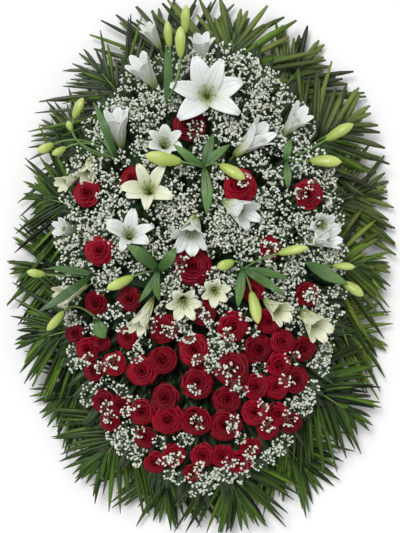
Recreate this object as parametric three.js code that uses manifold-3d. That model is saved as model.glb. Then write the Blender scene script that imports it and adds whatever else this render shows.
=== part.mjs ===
// Funeral wreath of palm fronds, white lilies, dark red roses and baby's breath, lying on its wooden backing.
// Millimetres. +X is the wreath's right, +Y its top and +Z the side that the flowers face.
import * as THREE from "three";
import Module from "manifold-3d";

const wasm = await Module();
wasm.setup();

// Outline of the whole wreath: a superellipse through the tips of the fronds
const OUTLINE = { halfWidth: 408, halfHeight: 566, power: 2.4 };

// Oval foam bed that holds every stem: its rings as share of the oval and height
const FOAM = { halfWidth: 238, halfHeight: 400, sides: 16 };
const FOAM_RINGS = [
  { share: 0.97, z: 24.6 },
  { share: 1.0, z: 62 },
  { share: 0.72, z: 90 },
  { share: 0.38, z: 103 },
];
const FOAM_TOP = 108;

// Wooden backing: two rails with two slats across them
const RAIL = { apart: 220, width: 26, thick: 12, length: 700 };
const SLAT = { apart: 400, width: 26, thick: 12, length: 300 };

// Heads of the flowers stand in a dome: lowest at the edge of the field, highest in the middle
const FIELD = { halfWidth: 300, halfHeight: 470, edgeHeight: 114, rise: 76 };

const GAP = 0.3;
const STEM_RADIUS = 2.4;
const LEAFY_STEM_RADIUS = 2.8;
const STEM_DEPTH = 28;
const UP = new THREE.Vector3(0, 0, 1);
const ACROSS = new THREE.Vector3(1, 0, 0);

// Roses: place in the face of the wreath, diameter and how far the head is lifted from the dome.
// The stems of one bunch share the hole that is nearest to each.
const ROSES = {
  rose_top: { heads: [[-24, 298, 60, -12]] },
  roses_left_upper: { heads: [[-239, 156, 53, 0], [-210, 33, 53, 12]] },
  rose_left_inner: { heads: [[-142, 181, 47, 0]] },
  roses_right_upper: { heads: [[82, 167, 62, 0], [147, 39, 44, -14], [225, 150, 55, 12]] },
  roses_right_middle: { heads: [[225, -58, 48, 0], [111, -49, 46, -16]] },
  roses_middle: { heads: [[-15, 1, 68, 0], [8, -95, 46, -6]] },
  roses_left_middle: { heads: [[-218, -77, 46, 0], [-147, -68, 46, -6]] },
  roses_bank_left: {
    holes: [[-180, -150], [-132, -210], [-140, -290], [-88, -345]],
    heads: [
      [-263, -140, 38, -6], [-235, -173, 46, 4], [-208, -158, 36, -2],
      [-179, -203, 44, 0], [-223, -219, 40, -8],
      [-151, -148, 44, -6], [-120, -217, 57, 4], [-204, -285, 44, -2],
      [-166, -291, 42, 2], [-189, -327, 38, -4],
      [-122, -303, 52, 2], [-116, -358, 42, -4], [-95, -413, 42, 0],
    ],
  },
  roses_bank_middle: {
    holes: [[-62, -150], [36, -168], [-44, -262], [34, -282], [-6, -364]],
    heads: [
      [-74, -129, 55, -8], [-13, -171, 57, 4], [-78, -194, 53, 0], [-6, -240, 60, 2], [65, -211, 63, 4],
      [-74, -272, 50, -2], [-67, -320, 57, 4], [-11, -322, 58, 0], [-55, -396, 44, -6], [6, -396, 46, 2],
      [46, -396, 44, -2], [53, -331, 60, 3], [57, -276, 52, -4], [-15, -436, 36, -8], [69, -125, 57, 0],
    ],
  },
  roses_bank_right: {
    holes: [[150, -140], [186, -196], [134, -272], [92, -345]],
    heads: [
      [143, -114, 46, -6], [172, -156, 46, 2], [124, -173, 55, 0], [216, -173, 48, -4], [166, -205, 48, 4],
      [202, -236, 50, 0], [115, -250, 50, 2], [158, -251, 46, -2], [113, -303, 50, 3], [162, -310, 44, 0],
      [193, -331, 42, -4], [143, -343, 42, 2], [107, -381, 40, -2], [80, -413, 48, -6],
    ],
  },
};

// Open lilies: base and mouth in the face of the wreath, width of the mouth, length of the flower and lift of its
// base
const LILIES = {
  lily_top: [[15, 356, 15, 356, 150, 62, 12]],
  lilies_top_left: [
    [4, 426, 4, 482, 56, 68, -10], [-92, 377, -134, 429, 60, 84, 0], [-84, 462, -113, 505, 40, 66, 0],
  ],
  lilies_left_upper: [[-166, 249, -176, 318, 62, 86, 0], [-76, 246, -70, 262, 72, 64, -8]],
  lilies_far_left: [[-231, 232, -237, 184, 44, 66, 2], [-256, 190, -292, 170, 38, 60, 2]],
  lily_left_star: [[-105, 150, -106, 166, 104, 70, 6]],
  lilies_right_upper: [[72, 232, 138, 282, 68, 96, 0], [174, 276, 214, 320, 56, 84, 0]],
  lilies_centre: [[-11, 106, -24, 46, 78, 92, 12], [46, 138, 105, 102, 68, 88, 6]],
  lilies_far_right: [[246, 96, 262, 80, 66, 60, -10], [226, 50, 282, 60, 50, 78, 0]],
  lilies_left_middle: [[-147, 56, -145, 74, 96, 64, 4], [-262, 70, -296, 84, 44, 58, -12]],
  lilies_middle: [
    [-36, -62, -33, -80, 74, 60, 12], [28, -46, 32, -54, 62, 52, 0], [-98, -66, -130, -130, 46, 92, 14],
  ],
  lilies_right_middle: [[134, -70, 172, -98, 54, 76, 12], [212, -92, 250, -134, 66, 84, 8]],
  lily_left_low: [[-236, -40, -292, -64, 50, 80, 12]],
};

// Leafy lily stems: the hole they stand in, buds (centre, length, width, way the tip points in degrees)
// and leaves (tip and half width)
const BUD_SLOPE = 0.16;
const BUD_OVER = 12;
const LEAF = { foot: 3, late: 0.8, ridge: 2.4, arch: 8, over: 6, clear: 3 };
const LEAFY_STEMS = {
  buds_top: {
    hole: [-56, 372],
    buds: [[-66, 486, 57, 19, 95], [-40, 459, 63, 22, 90], [-30, 514, 58, 20, 87]],
    leaves: [[-72, 462, 10]],
  },
  buds_left_upper: {
    hole: [-258, 262],
    buds: [
      [-256, 333, 48, 21, 65], [-326, 251, 38, 21, 205], [-296, 243, 34, 17, 208], [-274, 296, 22, 15, 110],
    ],
    leaves: [[-222, 343, 9], [-205, 262, 8]],
  },
  buds_upper_middle: {
    hole: [8, 204],
    buds: [[-74, 220, 76, 30, 170], [66, 194, 60, 25, -30]],
    leaves: [[-54, 250, 10], [28, 276, 11], [62, 252, 10], [13, 106, 13]],
  },
  buds_right_upper: {
    hole: [212, 232],
    buds: [[292, 282, 67, 25, 30], [262, 219, 65, 27, -3]],
    leaves: [[190, 266, 9], [182, 160, 9]],
  },
  buds_far_left: {
    hole: [-276, -16],
    buds: [[-344, -14, 40, 19, 172]],
    leaves: [[-318, -2, 9], [-338, -94, 10]],
  },
  buds_left_middle: {
    hole: [-86, -8],
    buds: [[-164, -33, 60, 23, 205]],
    leaves: [[-149, 45, 15], [-48, 38, 13], [-82, -72, 9], [-126, -74, 8]],
  },
  buds_right_middle: {
    hole: [88, -6],
    buds: [[52, 4, 38, 23, 200], [112, -84, 67, 25, -78], [191, 33, 63, 20, 12]],
    leaves: [[185, -26, 9], [78, -84, 11], [172, -58, 10]],
  },
  buds_far_right: {
    hole: [256, 8],
    buds: [[300, 0, 46, 17, -3], [321, -47, 50, 23, -35]],
    leaves: [[310, -38, 14]],
  },
  buds_low_left: {
    hole: [-242, -112],
    buds: [[-298, -112, 52, 19, 230]],
    leaves: [[-196, -150, 16]],
  },
};

// Baby's breath: the hole of each spray, and the hubs that its florets stand on
const SPRAYS = {
  babys_breath_top: [-110, 330],
  babys_breath_right_upper: [180, 215],
  babys_breath_left: [-215, 105],
  babys_breath_middle: [60, 60],
  babys_breath_low_left: [-150, -250],
  babys_breath_low_right: [130, -280],
};
const TWIG_RADIUS = 1.6;
const TWIG_STEP = 1.5;
const TWIG = { over: 14, end: 4, clear: 3, field: 1.04 };
const HUB = { radius: 2.6, height: 3.4, rise: 9, step: 118, shift: 24, tallest: 34, highest: 42 };
const STALKS = [32, 26, 20, 14, 9];
const FLORET = { radius: 5.6, height: 6 };

// Fronds: how far each reaches, as share of the outline, from the right side round by the top
const FROND_REACH = [
  0.99, 1.0, 1.0, 1.01, 0.99, 1.0, 0.97, 0.95, 0.94,
  1.0, 0.98, 0.95, 0.95, 0.98, 1.0, 1.0, 1.01, 1.0,
];
const FROND = { stations: 6, ribShare: 0.87, start: 3, socket: 18, arch: 6, taper: 0.6, tipDrop: 4 };
const FROND_RIB = { half: 3.4, high: 3.2 };
const FROND_HOLE = { radius: 8.84, mouth: 20, rise: 1.2 };
// Leaflets: angle to the rib and length at the foot of a frond, and how much both fall by its tip
const LEAFLET = {
  angle: 58, angleFall: 30, length: 176, lengthFall: 62, half: 8.4, ridge: 3, lift: 1, droop: 5,
};
const LEAFLET_CUT = { shortest: 30, step: 4, apart: 12 };
const FROND_LOW = { root: 36, tip: 26 };
const FROND_HIGH = { root: 54, tip: 56 };

const MATERIALS = {
  wood: new THREE.MeshStandardMaterial({ color: 0x9c7a4f, roughness: 0.8, metalness: 0 }),
  foam: new THREE.MeshStandardMaterial({ color: 0x1f3d22, roughness: 0.9, metalness: 0 }),
  frond: new THREE.MeshStandardMaterial({ color: 0x3f6420, roughness: 0.5, metalness: 0 }),
  rose: new THREE.MeshStandardMaterial({ color: 0x9a0a24, roughness: 0.6, metalness: 0 }),
  lily: new THREE.MeshStandardMaterial({ color: 0xe9ecdf, roughness: 0.45, metalness: 0 }),
  bud: new THREE.MeshStandardMaterial({ color: 0x9fb452, roughness: 0.45, metalness: 0 }),
  breath: new THREE.MeshStandardMaterial({ color: 0xe3e8da, roughness: 0.7, metalness: 0 }),
};

const wreath = new THREE.Group();

function vec(x, y, z = 0) {
  return new THREE.Vector3(x, y, z);
}

// Random numbers from 0 to 1 that are the same on each run
function seeded(seed) {
  let state = seed;
  return () => {
    state = (state * 1664525 + 1013904223) % 4294967296;
    return state / 4294967296;
  };
}

function solid(points, faces) {
  const vertProperties = new Float32Array(points.flatMap((point) => [point.x, point.y, point.z]));
  const triVerts = new Uint32Array(faces.flat());
  return new wasm.Manifold(new wasm.Mesh({ numProp: 3, vertProperties, triVerts }));
}

function joined(solids) {
  let list = solids;
  while (list.length > 1) {
    const next = [];
    for (let i = 0; i < list.length; i += 2) {
      next.push(i + 1 < list.length ? list[i].add(list[i + 1]) : list[i]);
    }
    list = next;
  }
  return list[0];
}

// Faces between two rings that run the same way round. The second may have a multiple of the first one's points.
function bridge(here, there) {
  const faces = [];
  const step = there.length / here.length;
  const middle = Math.floor(step / 2);
  here.forEach((a, i) => {
    const b = here[(i + 1) % here.length];
    const at = (k) => there[(i * step + k) % there.length];
    for (let k = 0; k < step; k++) {
      faces.push([k < middle ? a : b, at(k + 1), at(k)]);
    }
    faces.push([a, b, at(middle)]);
  });
  return faces;
}

// A closed body through rings of points. A ring of one point is a tip.
function loft(rings) {
  const points = rings.flat();
  const faces = [];
  const first = rings[0];
  for (let i = 1; i < first.length - 1; i++) {
    faces.push([0, i + 1, i]);
  }
  let start = 0;
  for (let k = 0; k < rings.length - 1; k++) {
    const here = rings[k].map((point, i) => start + i);
    start += here.length;
    const there = rings[k + 1].map((point, i) => start + i);
    if (there.length > 1 && here.length > 1) {
      faces.push(...bridge(here, there));
    } else if (there.length > 1) {
      there.forEach((b, i) => faces.push([here[0], there[(i + 1) % there.length], b]));
    } else {
      here.forEach((a, i) => faces.push([a, here[(i + 1) % here.length], there[0]]));
    }
  }
  const last = rings[rings.length - 1].length;
  for (let i = 1; i < last - 1; i++) {
    faces.push([start, start + i, start + i + 1]);
  }
  return solid(points, faces);
}

// Directions at each point of a path: along it, to its side and out of its upper face
function framesOf(path, firstSide) {
  let side = firstSide;
  return path.map((point, i) => {
    const before = path[Math.max(i - 1, 0)];
    const after = path[Math.min(i + 1, path.length - 1)];
    const along = after.clone().sub(before).normalize();
    if (!side) {
      const reference = Math.abs(along.z) > 0.9 ? ACROSS : UP;
      side = reference.clone().cross(along);
    }
    side = side.clone().addScaledVector(along, -side.dot(along)).normalize();
    return { point, along, side, out: along.clone().cross(side) };
  });
}

function ringAt(frame, radius, sides) {
  const ring = [];
  for (let i = 0; i < sides; i++) {
    const angle = (2 * Math.PI * i) / sides;
    const offset = frame.side.clone().multiplyScalar(radius * Math.cos(angle));
    offset.addScaledVector(frame.out, radius * Math.sin(angle));
    ring.push(frame.point.clone().add(offset));
  }
  return ring;
}

// Three points round a stem, the first of them on the side that is named
function stemRing(point, along, side, radius = STEM_RADIUS) {
  const first = side.clone().addScaledVector(along, -side.dot(along)).normalize();
  return ringAt({ point, side: first, out: along.clone().cross(first) }, radius, 3);
}

function stem(path, radius, sides = 3) {
  return loft(framesOf(path).map((frame) => ringAt(frame, radius, sides)));
}

// A leaf or petal: flat below, with a ridge along its upper face, and a pointed tip
function blade(path, halfWidths, ridge, firstSide) {
  const rings = framesOf(path, firstSide).map((frame, i) => {
    if (i === path.length - 1) {
      return [frame.point];
    }
    return [
      frame.point.clone().addScaledVector(frame.side, halfWidths[i]),
      frame.point.clone().addScaledVector(frame.out, ridge),
      frame.point.clone().addScaledVector(frame.side, -halfWidths[i]),
    ];
  });
  return loft(rings);
}

// A bud on its stalk, which starts at the root: its rings as place along it and share of its width
const BUD_RINGS = [[-0.24, 0.84], [0.2, 1]];
const BUD_STALK = 2;

function bud(root, centre, direction, length, width) {
  const side = direction.clone().cross(UP).normalize();
  const tail = centre.clone().addScaledVector(direction, -length / 2);
  const along = tail.clone().sub(root).normalize();
  const rings = BUD_RINGS.map(([part, share]) => {
    const point = centre.clone().addScaledVector(direction, part * length);
    return ringAt({ point, side, out: direction.clone().cross(side) }, (share * width) / 2, 6);
  });
  const tip = centre.clone().addScaledVector(direction, length / 2);
  const stalk = [stemRing(root, along, side, BUD_STALK), stemRing(tail, direction, side, BUD_STALK)];
  return loft([...stalk, ...rings, [tip]]);
}

// A rose head: rims of petals and the furrows between them, each ring turned against the one before
const ROSE_SIDES = 6;
const ROSE_RINGS = [
  { radius: 0.62, height: -0.4, wave: 0, turn: 0 },
  { radius: 1.0, height: 0.06, wave: 0.1, turn: 0 },
  { radius: 0.8, height: 0.02, wave: 0, turn: 0 },
  { radius: 0.64, height: 0.36, wave: 0.09, turn: 0.5 },
];
const ROSE_BASE = -0.78;
const ROSE_HEART = 0.2;
const ROSE_CROSSING = -0.58;
const ROSE_LEAN = { x: 1100, y: 1500 };

function rose(root, centre, radius, axis, turn) {
  const flat = ACROSS.clone().applyAxisAngle(UP, turn);
  const side = flat.addScaledVector(axis, -flat.dot(axis)).normalize();
  const out = axis.clone().cross(side);
  const rings = ROSE_RINGS.map((row) => {
    const ring = [];
    for (let i = 0; i < ROSE_SIDES; i++) {
      const angle = (2 * Math.PI * (i + row.turn)) / ROSE_SIDES;
      const share = i % 2 === 0 ? 1 + row.wave : 1 - row.wave;
      const point = centre.clone().addScaledVector(side, radius * row.radius * share * Math.cos(angle));
      point.addScaledVector(out, radius * row.radius * share * Math.sin(angle));
      point.addScaledVector(axis, radius * (row.height - (share - 1)));
      ring.push(point);
    }
    return ring;
  });
  const base = centre.clone().addScaledVector(axis, radius * ROSE_BASE);
  const heart = centre.clone().addScaledVector(axis, radius * ROSE_HEART);
  const along = base.clone().sub(root).normalize();
  return loft([stemRing(root, along, side), stemRing(base, axis, side), ...rings, [heart]]);
}

// An open lily in one closed net: a funnel whose rim opens into six pointed petals
const PETALS = 6;
const LILY_SINK = 30;
const FUNNEL = { along: 0.5, ridgeOut: 0.3, notchOut: 0.26, floor: 0.3 };
const PETAL = { along: 0.9, out: 0.68, half: 0.17, tipAlong: 0.88, thick: 1.1 };

function lilyBloom(root, base, mouth, width, turn) {
  const axis = mouth.clone().sub(base);
  const length = axis.length();
  axis.normalize();
  const reference = Math.abs(axis.z) > 0.9 ? ACROSS : UP;
  const first = reference.clone().cross(axis).normalize();
  const away = (step) => first.clone().applyAxisAngle(axis, turn + (step * Math.PI) / PETALS);
  const spot = (step, along, out) => {
    const point = base.clone().addScaledVector(axis, along * length);
    return point.addScaledVector(away(step), (out * width) / 2);
  };
  const along = base.clone().sub(root).normalize();
  const points = [base.clone().addScaledVector(axis, FUNNEL.floor * length)];
  const put = (point) => points.push(point) - 1;
  const low = stemRing(root, along, away(-1)).map(put);
  const high = stemRing(base, axis, away(-1)).map(put);
  const notches = [];
  for (let i = 0; i < PETALS; i++) {
    notches.push(put(spot(2 * i - 1, FUNNEL.along, FUNNEL.notchOut)));
  }
  const faces = [[low[0], low[2], low[1]], ...bridge(low, high)];
  const rim = [];
  for (let i = 0; i < PETALS; i++) {
    const near = notches[i];
    const far = notches[(i + 1) % PETALS];
    const root = spot(2 * i, FUNNEL.along, FUNNEL.ridgeOut);
    const back = put(root.clone().addScaledVector(away(2 * i), PETAL.thick));
    const front = put(root.clone().addScaledVector(away(2 * i), -PETAL.thick));
    rim.push(near, back);
    faces.push([0, front, far], [0, near, front]);
    const middle = spot(2 * i, PETAL.along, PETAL.out);
    const edge = axis.clone().cross(away(2 * i)).multiplyScalar(PETAL.half * width);
    const left = put(middle.clone().sub(edge));
    const right = put(middle.clone().add(edge));
    const over = put(middle.clone().addScaledVector(axis, PETAL.thick));
    const under = put(middle.clone().addScaledVector(axis, -PETAL.thick));
    const tip = put(spot(2 * i, PETAL.tipAlong, 1));
    // Both faces of a petal are split from its notches, so that they never cross each other
    faces.push([near, back, under], [near, under, left], [far, under, back], [far, right, under]);
    faces.push([near, over, front], [near, left, over], [far, front, over], [far, over, right]);
    faces.push([left, under, tip], [under, right, tip], [right, over, tip], [over, left, tip]);
  }
  faces.push(...bridge(high, rim));
  return solid(points, faces);
}

function domeHeight(x, y) {
  const share = (x / FIELD.halfWidth) ** 2 + (y / FIELD.halfHeight) ** 2;
  return FIELD.edgeHeight + FIELD.rise * (1 - share);
}

function foamShare(x, y) {
  return Math.hypot(x / FOAM.halfWidth, y / FOAM.halfHeight);
}

function foamHeight(x, y) {
  const share = foamShare(x, y);
  const steps = [{ share: 0, z: FOAM_TOP }, ...FOAM_RINGS.slice(1).reverse()];
  for (let i = 1; i < steps.length; i++) {
    if (share <= steps[i].share) {
      const part = (share - steps[i - 1].share) / (steps[i].share - steps[i - 1].share);
      return steps[i - 1].z + part * (steps[i].z - steps[i - 1].z);
    }
  }
  return FOAM_RINGS[1].z;
}

// Holes near the edge of the foam are pulled inwards, so that the stems lean out
const STEM_LEAN = 0.18;
const STEM_LEAN_LIMIT = 1.36;
const NECK_HEIGHT = 12;
const NECK_ROOT = 3;
const NECK_OVER = 1;
const NECK_CROSSING = 2;
const FOOT_RADIUS = 3.4;

// Holes are cut in the foam along the last stretch of each stem, a gap wider and deeper than the stem
const holes = [];

function drill(foot, end, radius) {
  const direction = end.clone().sub(foot).normalize();
  const deep = foot.clone().addScaledVector(direction, -GAP);
  holes.push(stem([deep, end], radius + 2 * GAP));
}

// Heights of everything placed so far, in square cells, for what is laid over it
const CELL = 4;
const heights = new Map();

function cellKey(x, y) {
  return `${Math.round(x / CELL)},${Math.round(y / CELL)}`;
}

function raiseHeights(body) {
  const mesh = body.getMesh();
  const at = (i) => vec(...[0, 1, 2].map((k) => mesh.vertProperties[i * mesh.numProp + k]));
  for (let t = 0; t < mesh.triVerts.length; t += 3) {
    const [a, b, c] = [0, 1, 2].map((k) => at(mesh.triVerts[t + k]));
    const steps = Math.max(1, Math.ceil(Math.max(a.distanceTo(b), b.distanceTo(c), c.distanceTo(a)) / CELL));
    for (let i = 0; i <= steps; i++) {
      for (let j = 0; j <= steps - i; j++) {
        const point = a.clone().addScaledVector(b.clone().sub(a), i / steps);
        point.addScaledVector(c.clone().sub(a), j / steps);
        const key = cellKey(point.x, point.y);
        heights.set(key, Math.max(heights.get(key) ?? 0, point.z));
      }
    }
  }
}

function heightNear(x, y, radius) {
  let top = 0;
  for (let dx = -radius; dx <= radius; dx += CELL) {
    for (let dy = -radius; dy <= radius; dy += CELL) {
      top = Math.max(top, heights.get(cellKey(x + dx, y + dy)) ?? 0);
    }
  }
  return top;
}

// The free column nearest to (x, y), through which a stem can rise between the heads
const COLUMN_CLEAR = 6;
const COLUMN_SHARE = 0.93;
const COLUMN_SEARCH = 150;

function freeColumn(x, y) {
  for (let radius = 0; radius < COLUMN_SEARCH; radius += CELL) {
    for (let angle = 0; angle < 2 * Math.PI; angle += Math.PI / 8) {
      const px = x + radius * Math.cos(angle);
      const py = y + radius * Math.sin(angle);
      const inFoam = foamShare(px, py) < COLUMN_SHARE;
      if (inFoam && heightNear(px, py, COLUMN_CLEAR) === 0) {
        return vec(px, py);
      }
    }
  }
  throw new Error(`no free column near ${x}, ${y}`);
}

// The top of a stem that stands in a column: over the dome and over the heads close round it
const CROWN_OVER = { dome: 6, heads: 5, radius: 18 };

function crownOver(column) {
  const heads = heightNear(column.x, column.y, CROWN_OVER.radius) + CROWN_OVER.heads;
  return vec(column.x, column.y, Math.max(domeHeight(column.x, column.y) + CROWN_OVER.dome, heads));
}

// Lifts the points of a path until it passes over everything placed so far
function clearOver(points, radius, clearance) {
  const path = points.map((point) => point.clone());
  for (let i = 0; i < path.length - 1; i++) {
    const samples = Math.max(2, Math.ceil(path[i].distanceTo(path[i + 1]) / CELL));
    for (let s = 0; s <= samples; s++) {
      const at = path[i].clone().lerp(path[i + 1], s / samples);
      const lack = heightNear(at.x, at.y, radius) + clearance - at.z;
      if (lack > 0) {
        path[i].z += i === 0 ? 0 : lack;
        path[i + 1].z += lack;
      }
    }
  }
  return path;
}

function addNode(name, body, material) {
  const mesh = body.getMesh();
  const geometry = new THREE.BufferGeometry();
  const positions = new Float32Array((mesh.vertProperties.length / mesh.numProp) * 3);
  for (let i = 0; i < positions.length / 3; i++) {
    for (let k = 0; k < 3; k++) {
      positions[3 * i + k] = mesh.vertProperties[i * mesh.numProp + k];
    }
  }
  geometry.setAttribute("position", new THREE.BufferAttribute(positions, 3));
  geometry.setIndex(new THREE.BufferAttribute(new Uint32Array(mesh.triVerts), 1));
  geometry.computeVertexNormals();
  const node = new THREE.Mesh(geometry, material);
  node.name = name;
  wreath.add(node);
}

function buildBacking() {
  const pieces = [
    ["rail_left", RAIL.width, RAIL.length, RAIL.thick, -RAIL.apart / 2, 0, 0],
    ["rail_right", RAIL.width, RAIL.length, RAIL.thick, RAIL.apart / 2, 0, 0],
    ["slat_top", SLAT.length, SLAT.width, SLAT.thick, 0, SLAT.apart / 2, RAIL.thick],
    ["slat_bottom", SLAT.length, SLAT.width, SLAT.thick, 0, -SLAT.apart / 2, RAIL.thick],
  ];
  for (const [name, width, length, thick, x, y, z] of pieces) {
    const lift = z > 0 ? GAP : 0;
    const node = new THREE.Mesh(new THREE.BoxGeometry(width, length, thick - lift), MATERIALS.wood);
    node.name = name;
    node.position.set(x, y, z + lift + (thick - lift) / 2);
    wreath.add(node);
  }
}

// The necks of a bunch: just over the foam, where its stems meet over the hole that they share
function necksOf(places) {
  return places.map(([x, y]) => vec(x, y, foamHeight(x, y) + NECK_HEIGHT));
}

function nearestOf(point, places) {
  const flat = (place) => Math.hypot(place.x - point.x, place.y - point.y);
  return places.reduce((best, place) => (flat(place) < flat(best) ? place : best));
}

// A stout stem in each hole, and where a bunch has several, a stem that crosses from the neck before to a head
function footStems(necks, bases) {
  const solids = [];
  necks.forEach((neck, i) => {
    const foot = neck.clone().setZ(neck.z - NECK_HEIGHT - STEM_DEPTH);
    solids.push(stem([foot, neck.clone().setZ(neck.z + NECK_OVER)], FOOT_RADIUS));
    drill(foot, neck, FOOT_RADIUS);
    if (i > 0) {
      const crossing = bases.find((base) => nearestOf(base, necks) === neck);
      const before = necks[i - 1];
      solids.push(stem([before.clone().setZ(before.z - NECK_CROSSING), crossing], STEM_RADIUS));
    }
  });
  return solids;
}

function rootIn(necks, point) {
  const neck = nearestOf(point, necks);
  return neck.clone().setZ(neck.z - NECK_ROOT);
}

// The shared hole of a bunch that names none: in the middle of its heads, pulled in from the edge of the foam
function middleHole(rows) {
  const x = rows.reduce((sum, row) => sum + row[0], 0) / rows.length;
  const y = rows.reduce((sum, row) => sum + row[1], 0) / rows.length;
  const share = Math.min(foamShare(x, y), STEM_LEAN_LIMIT);
  const scale = 1 - STEM_LEAN * share * share;
  return [x * scale, y * scale];
}

function buildRoses() {
  const random = seeded(11);
  for (const [name, bunch] of Object.entries(ROSES)) {
    const necks = necksOf(bunch.holes ?? [middleHole(bunch.heads)]);
    const bases = [];
    const solids = bunch.heads.map(([x, y, diameter, lift]) => {
      const radius = diameter / 2;
      const centre = vec(x, y, domeHeight(x, y) + lift);
      const axis = vec(x / ROSE_LEAN.x, y / ROSE_LEAN.y, 1).normalize();
      bases.push(centre.clone().addScaledVector(axis, radius * ROSE_CROSSING));
      return rose(rootIn(necks, centre), centre, radius, axis, random() * Math.PI);
    });
    const body = joined([...solids, ...footStems(necks, bases)]);
    raiseHeights(body);
    addNode(name, body, MATERIALS.rose);
  }
}

function buildLilies() {
  const random = seeded(23);
  for (const [name, rows] of Object.entries(LILIES)) {
    const necks = necksOf([middleHole(rows)]);
    const solids = rows.map(([x0, y0, x1, y1, width, length, lift]) => {
      const seen = Math.hypot(x1 - x0, y1 - y0);
      const rise = Math.sqrt(Math.max(length * length - seen * seen, 0));
      const base = vec(x0, y0, domeHeight(x0, y0) - LILY_SINK + lift);
      const mouth = vec(x1, y1, base.z + rise);
      return lilyBloom(rootIn(necks, base), base, mouth, width, random() * Math.PI);
    });
    const body = joined([...solids, ...footStems(necks, [])]);
    raiseHeights(body);
    addNode(name, body, MATERIALS.lily);
  }
}

function buildLeafyStems() {
  for (const [name, plant] of Object.entries(LEAFY_STEMS)) {
    const column = freeColumn(...plant.hole);
    const foot = vec(column.x, column.y, foamHeight(column.x, column.y) - STEM_DEPTH);
    const crown = crownOver(column);
    const solids = [];
    for (const [x, y, length, width, degrees] of plant.buds) {
      const angle = THREE.MathUtils.degToRad(degrees);
      const direction = vec(Math.cos(angle), Math.sin(angle), BUD_SLOPE).normalize();
      const tail = vec(x, y, 0).addScaledVector(vec(direction.x, direction.y, 0), -length / 2);
      const start = vec(tail.x, tail.y, domeHeight(tail.x, tail.y) + BUD_OVER);
      const end = start.clone().addScaledVector(direction, length);
      const route = clearOver([crown, start, end], width / 2, width / 2);
      const centre = route[1].clone().addScaledVector(direction, length / 2);
      solids.push(bud(crown, centre, direction, length, width));
    }
    for (const [x, y, half] of plant.leaves) {
      const tip = vec(x, y, domeHeight(x, y) + LEAF.over);
      const third = crown.clone().lerp(tip, 0.33).add(vec(0, 0, LEAF.arch));
      const late = crown.clone().lerp(tip, 0.7).add(vec(0, 0, LEAF.arch));
      const path = clearOver([crown, third, late, tip], half + CELL, LEAF.clear);
      solids.push(blade(path, [LEAF.foot, half, LEAF.late * half, 0], LEAF.ridge));
    }
    solids.push(stem([foot, crown.clone().add(vec(0, 0, LEAF.clear))], LEAFY_STEM_RADIUS));
    drill(foot, crown, LEAFY_STEM_RADIUS);
    const body = joined(solids);
    raiseHeights(body);
    addNode(name, body, MATERIALS.bud);
  }
}

// A twig that ends in a hub with a short stalk and a floret on each of its seven upper and outer faces
function twigWithFlorets(path, random) {
  const points = [];
  const faces = [];
  const put = (point) => points.push(point) - 1;
  const rings = framesOf(path).map((frame) => ringAt(frame, TWIG_RADIUS, 3).map(put));
  faces.push([rings[0][0], rings[0][2], rings[0][1]]);
  for (let k = 0; k < rings.length - 1; k++) {
    for (let i = 0; i < 3; i++) {
      const j = (i + 1) % 3;
      faces.push([rings[k][i], rings[k][j], rings[k + 1][j]]);
      faces.push([rings[k][i], rings[k + 1][j], rings[k + 1][i]]);
    }
  }
  const low = rings[rings.length - 1];
  const middle = path[path.length - 1];
  const start = points[low[0]].clone().sub(middle);
  const first = Math.atan2(start.y, start.x);
  const high = [0, 1, 2].map((i) => {
    const angle = first + ((2 * i + 1) * Math.PI) / 3;
    const offset = vec(Math.cos(angle), Math.sin(angle)).multiplyScalar(HUB.radius);
    return put(offset.add(middle).setZ(middle.z + HUB.height));
  });
  const openings = [[high[0], high[1], high[2]]];
  for (let i = 0; i < 3; i++) {
    const j = (i + 1) % 3;
    openings.push([low[i], low[j], high[i]], [low[j], high[j], high[i]]);
  }
  for (const face of openings) {
    const corners = face.map((index) => points[index]);
    const root = corners[0].clone().add(corners[1]).add(corners[2]).divideScalar(3);
    const outward = root.clone().sub(middle).setZ(0);
    const direction = face === openings[0] ? vec(0, 0, 1) : outward.normalize().setZ(0.25 + 0.5 * random());
    direction.normalize();
    const reach = STALKS.find((length) => {
      const at = root.clone().addScaledVector(direction, length);
      return heightNear(at.x, at.y, FLORET.radius + CELL) + 2 < at.z - FLORET.radius;
    });
    if (reach === undefined) {
      faces.push(face);
      continue;
    }
    const bulge = root.clone().addScaledVector(direction, reach);
    const ring = corners.map((corner) => {
      const offset = corner.clone().sub(root);
      offset.addScaledVector(direction, -offset.dot(direction)).normalize();
      return put(bulge.clone().addScaledVector(offset, FLORET.radius));
    });
    const tip = put(bulge.clone().addScaledVector(direction, FLORET.height));
    for (let k = 0; k < 3; k++) {
      const n = (k + 1) % 3;
      faces.push([face[k], face[n], ring[n]], [face[k], ring[n], ring[k]], [ring[k], ring[n], tip]);
    }
  }
  return solid(points, faces);
}

// Places of the hubs: an uneven grid over the flower field, where no lily or bud stands much above the dome
function hubPlaces(random) {
  const places = [];
  const columns = Math.ceil(FIELD.halfWidth / HUB.step);
  const rows = Math.ceil(FIELD.halfHeight / HUB.step);
  for (let row = -rows; row <= rows; row++) {
    for (let column = -columns; column <= columns; column++) {
      const x = (column + 0.5 * (row % 2) + 0.5 * (random() - 0.5)) * HUB.step;
      const y = (row + 0.5 * (random() - 0.5)) * HUB.step;
      const spots = [];
      for (let angle = 0; angle < 2 * Math.PI; angle += Math.PI / 4) {
        spots.push(vec(x, y), vec(x + HUB.shift * Math.cos(angle), y + HUB.shift * Math.sin(angle)));
      }
      const height = (spot) => heightNear(spot.x, spot.y, 2 * CELL) - domeHeight(spot.x, spot.y);
      const lowest = spots.reduce((best, spot) => (height(spot) < height(best) ? spot : best));
      const inField = Math.hypot(lowest.x / FIELD.halfWidth, lowest.y / FIELD.halfHeight) < TWIG.field;
      if (inField && height(lowest) < HUB.tallest) {
        places.push(lowest);
      }
    }
  }
  return places;
}

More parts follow.
